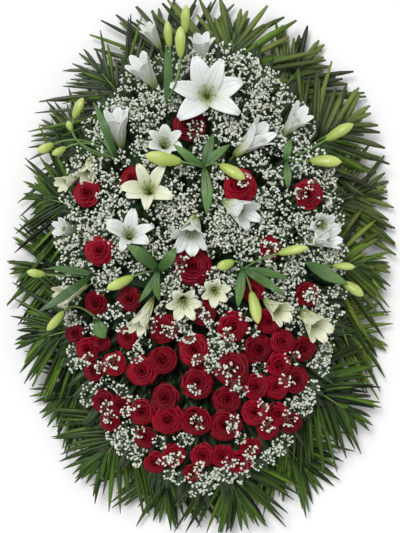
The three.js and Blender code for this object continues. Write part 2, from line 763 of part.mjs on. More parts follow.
function buildSprays() {
  const random = seeded(37);
  const places = hubPlaces(random);
  const sprays = Object.entries(SPRAYS).map(([name, hole]) => {
    return { name, column: freeColumn(...hole), places: [] };
  });
  for (const place of places) {
    const distance = (spray) => spray.column.distanceTo(place);
    sprays.reduce((best, spray) => (distance(spray) < distance(best) ? spray : best)).places.push(place);
  }
  for (const { name, column, places: ends } of sprays) {
    const foot = vec(column.x, column.y, foamHeight(column.x, column.y) - STEM_DEPTH);
    const crown = crownOver(column);
    const solids = [stem([foot, crown.clone().add(vec(0, 0, TWIG_STEP * ends.length + 2))], STEM_RADIUS)];
    drill(foot, crown, STEM_RADIUS);
    for (const [i, place] of ends.entries()) {
      const half = crown.clone().lerp(place, 0.5);
      half.z = domeHeight(half.x, half.y) + TWIG.over;
      const near = place.clone().setZ(domeHeight(place.x, place.y) + TWIG.end);
      const path = clearOver([crown.clone().setZ(crown.z + TWIG_STEP * i), half, near], CELL, TWIG.clear);
      if (path[2].z > domeHeight(place.x, place.y) + HUB.highest || path[1].z > crown.z + HUB.highest) {
        continue;
      }
      path.push(place.clone().setZ(path[2].z + HUB.rise));
      solids.push(twigWithFlorets(path, random));
    }
    const body = joined(solids);
    raiseHeights(body);
    addNode(name, body, MATERIALS.breath);
  }
}

// Points at even steps round the outline
function outlinePoints(count) {
  const fine = 1440;
  const points = [];
  for (let i = 0; i <= fine; i++) {
    const angle = (2 * Math.PI * i) / fine;
    const c = Math.cos(angle);
    const s = Math.sin(angle);
    const x = OUTLINE.halfWidth * Math.sign(c) * Math.abs(c) ** (2 / OUTLINE.power);
    const y = OUTLINE.halfHeight * Math.sign(s) * Math.abs(s) ** (2 / OUTLINE.power);
    points.push(vec(x, y));
  }
  const lengths = [0];
  for (let i = 1; i < points.length; i++) {
    lengths.push(lengths[i - 1] + points[i].distanceTo(points[i - 1]));
  }
  const total = lengths[fine];
  const picks = [];
  for (let k = 0; k < count; k++) {
    const goal = (total * k) / count;
    picks.push(points[lengths.findIndex((length) => length >= goal)]);
  }
  return picks;
}

function distanceToRib(point, rib) {
  const line = new THREE.Line3(rib.from, rib.to);
  const nearest = line.closestPointToPoint(point, true, vec(0, 0));
  return nearest.distanceTo(point);
}

// One frond in one closed net: a three-sided rib whose upper faces open into the leaflets on both sides
function frondBody(rib, neighbours, level) {
  const ahead = rib.to.clone().sub(rib.from).normalize();
  const left = UP.clone().cross(ahead);
  const length = rib.from.distanceTo(rib.to);
  const stations = FROND.stations;
  const points = [];
  const faces = [];
  const put = (point) => points.push(point) - 1;
  const rings = [];
  for (let k = 0; k <= stations + 1; k++) {
    const run = k === 0 ? -FROND.socket : ((k - 1) * length) / stations;
    const part = Math.max(run, 0) / length;
    const taper = 1 - FROND.taper * part;
    const rise = FROND.arch * Math.sin(Math.PI * part);
    const z = level.root + (level.tip - level.root) * part + rise;
    const centre = rib.from.clone().addScaledVector(ahead, run).setZ(z);
    rings.push({
      centre,
      left: put(centre.clone().addScaledVector(left, FROND_RIB.half * taper)),
      top: put(centre.clone().addScaledVector(UP, FROND_RIB.high * taper)),
      right: put(centre.clone().addScaledVector(left, -FROND_RIB.half * taper)),
    });
  }
  faces.push([rings[0].left, rings[0].right, rings[0].top]);
  for (let k = 0; k <= stations; k++) {
    const here = rings[k];
    const next = rings[k + 1];
    faces.push([here.right, here.left, next.left], [here.right, next.left, next.right]);
    faces.push([here.left, here.top, next.top], [here.top, next.right, next.top]);
    const leftRoot = [here.left, next.top, next.left];
    const rightRoot = [here.top, here.right, next.right];
    if (k === 0) {
      faces.push(leftRoot, rightRoot);
      continue;
    }
    const part = (k - 0.5) / stations;
    const angle = THREE.MathUtils.degToRad(LEAFLET.angle - LEAFLET.angleFall * part);
    for (const way of [1, -1]) {
      const root = here.centre.clone().lerp(next.centre, 0.5);
      const direction = ahead.clone().multiplyScalar(Math.cos(angle));
      direction.addScaledVector(left, way * Math.sin(angle));
      const front = ahead.clone().multiplyScalar(Math.sin(angle));
      front.addScaledVector(left, -way * Math.cos(angle));
      let reach = LEAFLET.length - LEAFLET.lengthFall * part;
      const clear = (run) => {
        const end = root.clone().addScaledVector(direction, run).setZ(0);
        const own = distanceToRib(end, rib);
        const inside = (Math.abs(end.x) / OUTLINE.halfWidth) ** OUTLINE.power;
        const outline = inside + (Math.abs(end.y) / OUTLINE.halfHeight) ** OUTLINE.power;
        return outline < 1 && neighbours.every((other) => own + LEAFLET_CUT.apart < distanceToRib(end, other));
      };
      while (reach > LEAFLET_CUT.shortest && !clear(reach)) {
        reach -= LEAFLET_CUT.step;
      }
      const middle = root.clone().addScaledVector(direction, 0.5 * reach).addScaledVector(UP, LEAFLET.lift);
      const rear = put(middle.clone().addScaledVector(front, -LEAFLET.half));
      const fore = put(middle.clone().addScaledVector(front, LEAFLET.half));
      const ridge = put(middle.clone().addScaledVector(UP, LEAFLET.ridge));
      const tip = put(root.clone().addScaledVector(direction, reach).addScaledVector(UP, -LEAFLET.droop));
      const [p, q, r] = way > 0 ? leftRoot : rightRoot;
      const [a, b, c] = way > 0 ? [rear, ridge, fore] : [ridge, rear, fore];
      faces.push([p, q, b], [p, b, a], [q, r, c], [q, c, b], [r, p, a], [r, a, c]);
      faces.push([a, b, tip], [b, c, tip], [c, a, tip]);
    }
  }
  const last = rings[stations + 1];
  const end = put(rib.end.clone().setZ(level.tip - FROND.tipDrop));
  faces.push([last.left, last.top, end], [last.top, last.right, end], [last.right, last.left, end]);
  return solid(points, faces);
}

function buildFronds() {
  const tips = outlinePoints(FROND_REACH.length);
  const ribs = tips.map((tip, i) => {
    const angle = Math.atan2(tip.y / OUTLINE.halfHeight, tip.x / OUTLINE.halfWidth);
    const from = vec(FOAM.halfWidth * Math.cos(angle), FOAM.halfHeight * Math.sin(angle));
    const end = tip.clone().multiplyScalar(FROND_REACH[i]);
    const to = end.clone().multiplyScalar(FROND.ribShare);
    from.addScaledVector(to.clone().sub(from).normalize(), FROND.start);
    return { from, to, end };
  });
  ribs.forEach((rib, i) => {
    const count = ribs.length;
    const neighbours = [ribs[(i + 2) % count], ribs[(i + count - 2) % count]];
    const level = i % 2 === 0 ? FROND_HIGH : FROND_LOW;
    const body = frondBody(rib, neighbours, level);
    const ahead = rib.to.clone().sub(rib.from).normalize();
    const deep = rib.from.clone().addScaledVector(ahead, -FROND.socket - GAP);
    deep.setZ(level.root + FROND_HOLE.rise);
    const mouth = rib.from.clone().addScaledVector(ahead, FROND_HOLE.mouth).setZ(deep.z);
    holes.push(stem([deep, mouth], FROND_HOLE.radius));
    addNode(`frond_${String(i + 1).padStart(2, "0")}`, body, MATERIALS.frond);
  });
}

function buildFoam() {
  const rings = FOAM_RINGS.map((row) => {
    const ring = [];
    for (let i = 0; i < FOAM.sides; i++) {
      const angle = (2 * Math.PI * i) / FOAM.sides;
      const x = FOAM.halfWidth * row.share * Math.cos(angle);
      const y = FOAM.halfHeight * row.share * Math.sin(angle);
      ring.push(vec(x, y, row.z));
    }
    return ring;
  });
  let body = loft([...rings, [vec(0, 0, FOAM_TOP)]]);
  body = body.subtract(joined(holes));
  addNode("foam_bed", body, MATERIALS.foam);
}

buildBacking();
buildRoses();
buildLilies();
buildLeafyStems();
buildSprays();
buildFronds();
buildFoam();

// The origin is under the middle of the wreath's box, on the surface that it lies on
const box = new THREE.Box3().setFromObject(wreath);
const middle = box.getCenter(vec(0, 0));
wreath.position.set(-middle.x, -middle.y, -box.min.z);
wreath.updateMatrixWorld(true);

const group = new THREE.Group();
group.add(wreath);

export default group;
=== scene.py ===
# %% [markdown]
# # A funeral wreath, dressed on its frame
# The wreath lies on its back with its flowers up: palm fronds round a bed of floral foam, then lilies,
# roses and baby's breath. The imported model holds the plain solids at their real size. This file gives each
# of them its petals, leaflets and finish, in metres, in the same frame.

# %% Load the frame and keep its box
import math

import bpy
import numpy as np
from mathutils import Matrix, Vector
from mathutils.bvhtree import BVHTree


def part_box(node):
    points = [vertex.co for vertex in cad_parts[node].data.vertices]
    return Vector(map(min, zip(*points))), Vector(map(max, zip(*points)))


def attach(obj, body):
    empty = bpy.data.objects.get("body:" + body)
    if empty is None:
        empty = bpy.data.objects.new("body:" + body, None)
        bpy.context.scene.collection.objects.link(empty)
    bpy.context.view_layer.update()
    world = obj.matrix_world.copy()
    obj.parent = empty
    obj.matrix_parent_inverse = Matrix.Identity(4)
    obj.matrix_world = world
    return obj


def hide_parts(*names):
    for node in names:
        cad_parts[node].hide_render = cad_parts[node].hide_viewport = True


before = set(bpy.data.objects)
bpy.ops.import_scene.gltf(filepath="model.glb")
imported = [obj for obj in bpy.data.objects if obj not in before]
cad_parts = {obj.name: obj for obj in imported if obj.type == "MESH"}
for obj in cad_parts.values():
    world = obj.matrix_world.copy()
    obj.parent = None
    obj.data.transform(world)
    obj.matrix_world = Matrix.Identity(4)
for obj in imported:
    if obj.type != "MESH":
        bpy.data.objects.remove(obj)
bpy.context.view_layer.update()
print("solids:", len(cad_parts))

# %% [markdown]
# ## Where the middle is
# The flowers are placed from the middle of the wreath's face, and the frame's origin is under the middle of
# its box. The two rails stand at equal distances from the wreath's middle, so their boxes tell where it is.

# %% Middle of the wreath's face
MM = 0.001


def rail_centre(name):
    low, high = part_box(name)
    return (np.array(low) + np.array(high)) / 2


MIDDLE = (rail_centre("rail_left") + rail_centre("rail_right")) / 2
MIDDLE[2] = 0.0
print("middle of the face, mm:", np.round(MIDDLE / MM, 2))

# %% [markdown]
# ## Driving sizes
# The same real sizes as the solids have: the outline that the frond tips follow, the oval foam bed and the
# dome of the flower heads. They are in millimetres, measured from the middle of the face.

# %% Driving sizes, in millimetres
OUTLINE_HALF = (408.0, 566.0)
OUTLINE_POWER = 2.4
FOAM_HALF = (238.0, 400.0)
FOAM_STEPS = ((0.0, 108.0), (0.38, 103.0), (0.72, 90.0), (1.0, 62.0))
FIELD_HALF = (300.0, 470.0)
DOME_EDGE = 114.0
DOME_RISE = 76.0


def dome_height(x, y):
    return DOME_EDGE + DOME_RISE * (1.0 - (x / FIELD_HALF[0]) ** 2 - (y / FIELD_HALF[1]) ** 2)


def foam_height(x, y):
    share = math.hypot(x / FOAM_HALF[0], y / FOAM_HALF[1])
    shares, heights = zip(*FOAM_STEPS)
    return float(np.interp(share, shares, heights))


def outline_share(x, y):
    return (abs(x) / OUTLINE_HALF[0]) ** OUTLINE_POWER + (abs(y) / OUTLINE_HALF[1]) ** OUTLINE_POWER


print("dome in the middle, mm:", dome_height(0, 0))

# %% [markdown]
# ## Petals and leaves are thin sheets
# A petal is less than a millimetre thick. Each one is worked out as a grid of points, and gets a front, a
# back and a rim, so that it is a closed body from any side. A heap gathers many of them into one mesh. Each
# point also keeps three marks for the materials: how far it is along the petal, how far across, and a tone
# of its own for each petal.

# %% Heaps of thin sheets
SHEET = 0.7
UP = np.array([0.0, 0.0, 1.0])
SIDEWAYS = np.array([1.0, 0.0, 0.0])


def unit(vector):
    length = np.linalg.norm(vector, axis=-1, keepdims=True)
    return vector / np.maximum(length, 1e-9)


def pointing(angle, rise=0.0):
    """The direction at this angle in the face, with a rise out of it."""
    return np.array([math.cos(angle), math.sin(angle), rise])


class Heap:
    """Points, faces and marks of many small bodies that become one mesh."""

    def __init__(self):
        self.points = []
        self.quads = []
        self.triangles = []
        self.marks = []
        self.slots = []
        self.triangle_slots = []
        self.count = 0

    def add(self, points, quads, triangles, marks, slot=0):
        quads = np.asarray(quads, dtype=np.int64).reshape(-1, 4)
        triangles = np.asarray(triangles, dtype=np.int64).reshape(-1, 3)
        self.points.append(points)
        self.marks.append(marks)
        self.quads.append(quads + self.count)
        self.triangles.append(triangles + self.count)
        self.slots.append(np.full(len(quads), slot))
        self.triangle_slots.append(np.full(len(triangles), slot))
        self.count += len(points)


def grid_normals(grid):
    down = np.gradient(grid, axis=0)
    over = np.gradient(grid, axis=1)
    return unit(np.cross(down, over))


def add_sheet(heap, grid, tone, slot=0, thick=SHEET):
    """grid has rows along the petal and columns across it."""
    rows, columns = grid.shape[:2]
    normals = grid_normals(grid)
    front = (grid + normals * thick / 2).reshape(-1, 3)
    back = (grid - normals * thick / 2).reshape(-1, 3)
    index = np.arange(rows * columns).reshape(rows, columns)
    a, b, c, d = index[:-1, :-1], index[1:, :-1], index[1:, 1:], index[:-1, 1:]
    faces = np.stack([a, b, c, d], axis=-1).reshape(-1, 4)
    edge = np.concatenate([index[:, 0], index[-1, 1:], index[-2::-1, -1], index[0, -2:0:-1]])
    after = np.roll(edge, -1)
    size = rows * columns
    rim = np.stack([edge, edge + size, after + size, after], axis=-1)
    quads = np.concatenate([faces, faces[:, ::-1] + size, rim])
    along = np.repeat(np.linspace(0, 1, rows), columns)
    across = np.tile(np.linspace(-1, 1, columns), rows)
    marks = np.stack([along, across, np.full(size, tone)], axis=-1)
    heap.add(np.concatenate([front, back]), quads, [], np.concatenate([marks, marks]), slot)


print("sheet thickness, mm:", SHEET)

# %% [markdown]
# ### Leaves, stalks and mesh objects
# A leaf is a sheet laid along a path, and a stem is a tube along one. When a heap is full it becomes one
# mesh object, which is moved from the middle of the face to the frame.

# %% Blades and tubes
STEEP = 0.9


def path_frames(path, up):
    """Tangent, side and outward directions along a path."""
    along = unit(np.gradient(path, axis=0))
    side = unit(np.cross(np.broadcast_to(up, path.shape), along))
    return along, side, np.cross(along, side)


def add_blade(heap, path, halves, up, fold, tone, slot=0, columns=3, thick=SHEET):
    """A leaf folded along its midrib: fold is the slope of its two halves."""
    along, side, out = path_frames(path, up)
    across = np.linspace(-1, 1, columns)
    reach = halves[:, None, None] * across[None, :, None]
    grid = path[:, None, :] + side[:, None, :] * reach - out[:, None, :] * np.abs(reach) * fold
    add_sheet(heap, grid, tone, slot, thick)


def tube_faces(rows, sides):
    """Quads between rings of points, and a fan of triangles to one more point at each end."""
    index = np.arange(rows * sides).reshape(rows, sides)
    after = np.roll(index, -1, axis=1)
    quads = np.stack([index[:-1], after[:-1], after[1:], index[1:]], axis=-1).reshape(-1, 4)
    first, last = rows * sides, rows * sides + 1
    ends = [[first, after[0, i], index[0, i]] for i in range(sides)]
    ends += [[last, index[-1, i], after[-1, i]] for i in range(sides)]
    return quads, ends


def tube_marks(along, across, tone):
    """Marks of the points in the rings and of the two end points."""
    rings = np.stack([np.repeat(along, len(across)), np.tile(across, len(along)),
                      np.full(len(along) * len(across), tone)], axis=-1)
    return np.concatenate([rings, [[0, 0, tone], [1, 0, tone]]])


def add_tube(heap, path, radii, sides=5, tone=0.5, slot=0):
    """A closed tube along a path."""
    start = unit(path[1] - path[0])
    along, side, out = path_frames(path, SIDEWAYS if abs(start[2]) > STEEP else UP)
    turn = np.arange(sides) * 2 * math.pi / sides
    ring = side[:, None, :] * np.cos(turn)[None, :, None] + out[:, None, :] * np.sin(turn)[None, :, None]
    points = (path[:, None, :] + ring * np.asarray(radii)[:, None, None]).reshape(-1, 3)
    quads, ends = tube_faces(len(path), sides)
    marks = tube_marks(np.linspace(0, 1, len(path)), np.linspace(-1, 1, sides), tone)
    heap.add(np.concatenate([points, path[:1], path[-1:]]), quads, ends, marks, slot)


def curve_points(a, b, c, count):
    """A smooth curve from a to c that is pulled towards b."""
    t = np.linspace(0, 1, count)[:, None]
    return (1 - t) ** 2 * a + 2 * t * (1 - t) * b + t ** 2 * c


def in_foam(x, y, draw_in, depth):
    """Where a stem stands: nearer to the middle than its head, and sunk into the foam by a depth."""
    return np.array([x * draw_in, y * draw_in, foam_height(x * draw_in, y * draw_in) - depth])


print("faces of a tube with 5 rings of 6:", sum(map(len, tube_faces(5, 6))))

# %% From a heap to an object


def make_object(name, heap, materials, smooth=True):
    """The heap as one mesh object, in the frame and in metres."""
    mesh = bpy.data.meshes.new(name)
    points = np.concatenate(heap.points) * MM + MIDDLE
    quads = np.concatenate(heap.quads)
    triangles = np.concatenate(heap.triangles)
    mesh.from_pydata(points.tolist(), [], quads.tolist() + triangles.tolist())
    marks = mesh.attributes.new("marks", "FLOAT_VECTOR", "POINT")
    marks.data.foreach_set("vector", np.concatenate(heap.marks).astype(np.float32).ravel())
    slots = np.concatenate([np.concatenate(heap.slots), np.concatenate(heap.triangle_slots)]).astype(np.int32)
    mesh.polygons.foreach_set("material_index", slots)
    mesh.polygons.foreach_set("use_smooth", np.full(len(slots), smooth))
    for material in materials:
        mesh.materials.append(material)
    mesh.update()
    piece = bpy.data.objects.new(name, mesh)
    bpy.context.scene.collection.objects.link(piece)
    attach(piece, "root")
    return piece


print("each piece is drawn in mm, then moved by, m:", np.round(MIDDLE, 4))

# %% [markdown]
# ## Tones and veins
# Every leaf and petal here changes colour from its base to its tip, differs a little from its neighbour and
# is mottled. On the roses the dark petal bases and the dark heart are painted shade, and on the fronds and
# the filling leaves the darkest tones are partly painted shade. One node group gives that tone to all of
# them. A second group gives the fine parallel veins of leaves and lily petals, as a height for a bump. Both
# read the three marks that the sheets carry.

# %% Shared node groups
TONE_DETAIL = 3.0
RIB_SHARPNESS = 8.0
WAVE_HEIGHT = 0.3


def linear(text):
    """A colour of six hexadecimal digits as linear values."""
    values = [int(text[i:i + 2], 16) / 255 for i in (0, 2, 4)]
    return [v / 12.92 if v <= 0.04045 else ((v + 0.055) / 1.055) ** 2.4 for v in values] + [1.0]


def give(tree, value, socket):
    """A number or a colour is set on the socket, and an output is linked to it."""
    if isinstance(value, (int, float, list)):
        socket.default_value = value
    else:
        tree.links.new(value, socket)


def add_math(tree, operation, *values):
    node = tree.nodes.new("ShaderNodeMath")
    node.operation = operation
    for socket, value in zip(node.inputs, values):
        give(tree, value, socket)
    return node.outputs[0]


def mix_colour(tree, factor, first, second):
    node = tree.nodes.new("ShaderNodeMix")
    node.data_type = "RGBA"
    for socket, value in ((node.inputs[0], factor), (node.inputs[6], first), (node.inputs[7], second)):
        give(tree, value, socket)
    return node.outputs[2]


def new_group(name, inputs, outputs):
    group = bpy.data.node_groups.new(name, "ShaderNodeTree")
    for end, sockets in (("INPUT", inputs), ("OUTPUT", outputs)):
        for label, kind in sockets:
            group.interface.new_socket(label, in_out=end, socket_type=kind)
    return group, group.nodes.new("NodeGroupInput").outputs, group.nodes.new("NodeGroupOutput").inputs


def marks_of(tree):
    node = tree.nodes.new("ShaderNodeAttribute")
    node.attribute_name = "marks"
    split = tree.nodes.new("ShaderNodeSeparateXYZ")
    tree.links.new(node.outputs["Vector"], split.inputs[0])
    return split.outputs


def build_tone_group():
    colour, number = "NodeSocketColor", "NodeSocketFloat"
    group, given, result = new_group(
        "plant tone",
        [("Base", colour), ("Tip", colour), ("Dark", colour), ("Turn", number), ("Spread", number),
         ("Mottle", number), ("Grain", number)],
        [("Color", colour)])
    marks = marks_of(group)
    ramp = group.nodes.new("ShaderNodeMapRange")
    ramp.interpolation_type = "SMOOTHSTEP"
    group.links.new(marks[0], ramp.inputs[0])
    group.links.new(given["Turn"], ramp.inputs[2])
    along = mix_colour(group, ramp.outputs[0], given["Base"], given["Tip"])
    noise = group.nodes.new("ShaderNodeTexNoise")
    place = group.nodes.new("ShaderNodeTexCoord")
    group.links.new(place.outputs["Object"], noise.inputs["Vector"])
    group.links.new(given["Grain"], noise.inputs["Scale"])
    noise.inputs["Detail"].default_value = TONE_DETAIL
    blot = add_math(group, "MULTIPLY", noise.outputs[0], given["Mottle"])
    shade = add_math(group, "MULTIPLY", add_math(group, "SUBTRACT", 1.0, marks[2]), given["Spread"])
    mask = add_math(group, "MINIMUM", add_math(group, "ADD", blot, shade), 1.0)
    group.links.new(mix_colour(group, mask, along, given["Dark"]), result["Color"])
    return group


def build_vein_group():
    number = "NodeSocketFloat"
    group, given, result = new_group(
        "parallel veins", [("Count", number), ("Rib", number)], [("Height", number)])
    marks = marks_of(group)
    wave = add_math(group, "SINE", add_math(group, "MULTIPLY", marks[1], given["Count"]))
    inward = add_math(group, "SUBTRACT", 1.0, add_math(group, "ABSOLUTE", marks[1]))
    rib = add_math(group, "MULTIPLY", add_math(group, "POWER", inward, RIB_SHARPNESS), given["Rib"])
    height = add_math(group, "ADD", add_math(group, "MULTIPLY", wave, WAVE_HEIGHT), rib)
    group.links.new(height, result["Height"])
    return group


TONE = build_tone_group()
VEINS = build_vein_group()
print("node groups:", TONE.name, "and", VEINS.name)

# %% [markdown]
# ## Finishes of leaves and petals
# One function makes every plant material: the tone group feeds the base colour, and the vein group feeds a
# bump. Each material has a colour at the base of a petal or leaf, one at its tip and one for its darkest
# tones. Leaves are glossy, rose petals are dull like velvet, and the petals of the lilies let some light
# through.

# %% Plant materials
GLOW_DEPTH = 0.004
GLOW_COLOUR = (1.0, 1.0, 0.7)
VEIN_DEPTH = 0.001


def new_material(name, rough):
    material = bpy.data.materials.new(name)
    material.use_nodes = True
    shader = material.node_tree.nodes["Principled BSDF"]
    shader.inputs["Roughness"].default_value = rough
    return material, material.node_tree, shader


def add_bump(tree, shader, height, strength, distance):
    relief = tree.nodes.new("ShaderNodeBump")
    relief.inputs["Strength"].default_value = strength
    relief.inputs["Distance"].default_value = distance
    tree.links.new(height, relief.inputs["Height"])
    tree.links.new(relief.outputs["Normal"], shader.inputs["Normal"])


def plant_material(name, base, tip, dark, turn=0.8, spread=0.5, mottle=0.3, grain=120.0, rough=0.5,
                   veins=0.0, rib=0.5, bump=0.0, glow=0.0, specular=0.5):
    material, tree, shader = new_material(name, rough)
    tone = tree.nodes.new("ShaderNodeGroup")
    tone.node_tree = TONE
    for label, value in (("Base", linear(base)), ("Tip", linear(tip)), ("Dark", linear(dark)), ("Turn", turn),
                         ("Spread", spread), ("Mottle", mottle), ("Grain", grain)):
        tone.inputs[label].default_value = value
    tree.links.new(tone.outputs["Color"], shader.inputs["Base Color"])
    shader.inputs["Specular IOR Level"].default_value = specular
    if glow > 0:
        shader.inputs["Subsurface Weight"].default_value = glow
        shader.inputs["Subsurface Scale"].default_value = GLOW_DEPTH
        shader.inputs["Subsurface Radius"].default_value = GLOW_COLOUR
    if veins > 0:
        vein = tree.nodes.new("ShaderNodeGroup")
        vein.node_tree = VEINS
        vein.inputs["Count"].default_value = veins
        vein.inputs["Rib"].default_value = rib
        add_bump(tree, shader, vein.outputs["Height"], bump, VEIN_DEPTH)
    return material


def frond_material(name, base, tip, dark, rough, spread, specular, bump=0.6):
    return plant_material(f"frond {name}", base, tip, dark, rough=rough, spread=spread, specular=specular,
                          veins=9, bump=bump)


def lily_material(name, base, tip, dark, turn, spread, mottle):
    return plant_material(name, base, tip, dark, turn=turn, spread=spread, mottle=mottle, rough=0.42,
                          veins=14, rib=1.6, bump=0.7, glow=0.2)


# The wide spread gives many leaflets the near-black dark colour at random: partly the leaflets' own darker
# tones, partly painted shade between the layers of the fronds.
FROND_GREEN = frond_material("green", "2A4715", "547229", "0A1506", 0.4, 0.9, 0.25)
FROND_OLIVE = frond_material("olive", "43582A", "788A3E", "161F0F", 0.42, 0.8, 0.35)
FROND_GREY = frond_material("grey green", "38452F", "626E4E", "12180E", 0.48, 0.8, 0.4, bump=0.5)
FROND_LIGHT = frond_material("light green", "3D5C1E", "8C9F3E", "16260A", 0.38, 0.85, 0.3)
FROND_BRIGHT = frond_material("bright green", "35591A", "6C9028", "142408", 0.38, 0.8, 0.3)
RIB_GREEN = plant_material("frond rib", "55703A", "7E9455", "2E4420", rough=0.45)
# The filling leaves are real, and their near-black colours are also painted shade in the gaps between the
# heads.
FILL_GREEN_AND_SHADE = plant_material("filling leaf", "1C3013", "33501F", "070E05", rough=0.5, veins=7, bump=0.4,
                            spread=0.8)
LEAF_GREEN = plant_material("lily leaf", "40682C", "6F9650", "20401A", rough=0.34, veins=22, rib=1.6,
                            bump=0.7, spread=0.7)
STEM_GREEN = plant_material("flower stem", "5E8440", "77994F", "2C471F", rough=0.45)
BUD_GREEN = plant_material("lily bud", "A9BE5A", "D3DE83", "7D9638", turn=1.0, spread=0.45, mottle=0.25,
                           rough=0.36, veins=9, rib=0.2, bump=0.35, glow=0.15)
LILY_WHITE = lily_material("lily petal", "A3B444", "ECF0EE", "C6D0B4", 0.62, 0.3, 0.15)
LILY_CREAM = lily_material("lily cream petal", "A9B84A", "E9EBD0", "CFD8A6", 0.6, 0.4, 0.18)
# The near-black base colour of each rose petal is painted shade deep in the head, where the petals hide their
# bases; the red towards the tips is the petals' own colour.
ROSE_RED = plant_material("rose petal", "38010A", "A00823", "1E0004", turn=1.0, spread=0.6, mottle=0.25,
                          grain=60, rough=0.45, glow=0.05, specular=0.15)
BREATH_WHITE = plant_material("baby's breath floret", "DCE2D0", "F5F7EF", "B0BBA2", spread=0.6, rough=0.6,
                              glow=0.15)
BREATH_STEM = plant_material("baby's breath stem", "5E7350", "8B9C78", "3C4F2E", rough=0.55)
ANTHER = plant_material("anther", "8F8436", "B3A850", "6A5C22", rough=0.8)
print("plant materials:", len(bpy.data.materials))

# %% [markdown]
# ## The fronds
# A palm frond is a rib with folded leaflets on both sides. They leave the rib at a wide angle near its foot
# and nearly along it at its tip. Each rib runs where its solid runs: from the side of the foam to the
# outline. On the real wreath the florist trimmed the leaflets blunt at the top and the upper right, and
# those below hang to fine points.

# %% Ribs of the fronds
FROND_REACH = (0.99, 1.0, 1.0, 1.01, 0.99, 1.0, 0.97, 0.95, 0.94,
               1.0, 0.98, 0.95, 0.95, 0.98, 1.0, 1.0, 1.01, 1.0)
RIB_SHARE = 0.87
FOAM_GAP = 3.0
SOCKET = 18.0
HIGH_LEVEL = (54.0, 56.0)
LOW_LEVEL = (36.0, 26.0)
OUTLINE_SAMPLES = 1441


def outline_points(count):
    """Points at even steps round the outline."""
    angle = np.linspace(0, 2 * math.pi, OUTLINE_SAMPLES)
    c, s = np.cos(angle), np.sin(angle)
    x = OUTLINE_HALF[0] * np.sign(c) * np.abs(c) ** (2 / OUTLINE_POWER)
    y = OUTLINE_HALF[1] * np.sign(s) * np.abs(s) ** (2 / OUTLINE_POWER)
    lengths = np.concatenate([[0], np.cumsum(np.hypot(np.diff(x), np.diff(y)))])
    picks = [int(np.argmax(lengths >= lengths[-1] * k / count)) for k in range(count)]
    return [np.array([x[i], y[i], 0.0]) for i in picks]


def frond_ribs():
    ribs = []
    for reach, tip in zip(FROND_REACH, outline_points(len(FROND_REACH))):
        angle = math.atan2(tip[1] / OUTLINE_HALF[1], tip[0] / OUTLINE_HALF[0])
        start = np.array([FOAM_HALF[0] * math.cos(angle), FOAM_HALF[1] * math.sin(angle), 0.0])
        end = tip * reach
        stop = end * RIB_SHARE
        start = start + unit(stop - start) * FOAM_GAP
        ribs.append((start, stop, end))
    return ribs


RIBS = frond_ribs()
print("ribs:", len(RIBS))

# %% [markdown]
# ### Leaflets
# Each leaflet is a narrow blade with a fold along its middle. Its tip sinks a little, and the side leaflets
# also hang towards the foot of the wreath, because it stood upright while it was made. No leaflet goes
# under the surface that the wreath lies on.

# %% One leaflet
LEAFLET_STEPS = 6
LEAFLET_FOLD = 0.62
LEAFLET_ARCH = 9.0
LOWEST = 5.0
FARTHEST = 572.0


def frond_style(x, y):
    """Material, half width, bluntness and sag of the leaflets at this side of the wreath."""
    if y > 60 and x > 40:
        return FROND_OLIVE, 5.8, 0.6, 10.0
    if y > 180 and x < -150:
        return FROND_GREY, 4.0, 0.3, 14.0
    if y > 180:
        return FROND_GREY, 5.0, 0.6, 8.0
    if x > 150 and y > -300:
        return FROND_LIGHT, 5.4, 0.2, 26.0
    return FROND_GREEN, 4.9, 0.05, 20.0


def leaflet(heap, root, heading, reach, half, blunt, sag, drop, tone, slot=0):
    """sag is how far the tip hangs to the foot of the wreath, and drop how far it sinks to the floor."""
    t = np.linspace(0, 1, LEAFLET_STEPS)[:, None]
    path = root + heading * reach * t
    path = path + np.array([0.0, -1.0, 0.0]) * sag * t ** 2
    path = path + UP * (LEAFLET_ARCH * t - (LEAFLET_ARCH + drop) * t ** 2)
    path[:, 2] = np.maximum(path[:, 2], LOWEST)
    path[:, 1] = np.maximum(path[:, 1], -FARTHEST)
    t = t[:, 0]
    pointed = np.sin(np.pi * np.clip(t * 0.93 + 0.07, 0, 1)) ** 0.6
    cut = np.where(t < 0.93, 1.0, 0.55)
    halves = half * ((1 - blunt) * pointed + blunt * cut * np.minimum(1.0, 0.45 + 2 * t))
    halves[-1] = max(halves[-1], 0.5)
    add_blade(heap, path, halves, UP, fold=LEAFLET_FOLD, tone=tone, slot=slot)


print("half width and sag at the foot, mm:", frond_style(0, -500)[1::2])

# %% [markdown]
# ### One frond
# At the upper side the florist's cut leaves the leaflets uneven, and a few strays stick out of the outline.
# Each leaflet is shortened until it ends inside the outline, or a little past it where it is a stray.

# %% Build the fronds
LEAFLETS = 27
OUTLINE_SLACK = 1.03
CUT_ABOVE = 60.0
CUT_JUMBLE, CUT_SHORTEST = 0.24, 0.66
FINE_JUMBLE, FINE_SHORTEST = 0.15, 0.72
RIB_POINTS = 9
RIB_RADII = (3.2, 1.0)
RIB_ARCH = 6.0
FOOT_ANGLE, ANGLE_LOSS = 62, 42
FOOT_LENGTH, LENGTH_LOSS = 194, 84
SHORTEST_LEAFLET = 40
STRAY_SHARE, STRAY_REACH, STRAY_EDGE = 0.14, 1.2, 1.08
BRIGHT_SHARE = 0.3


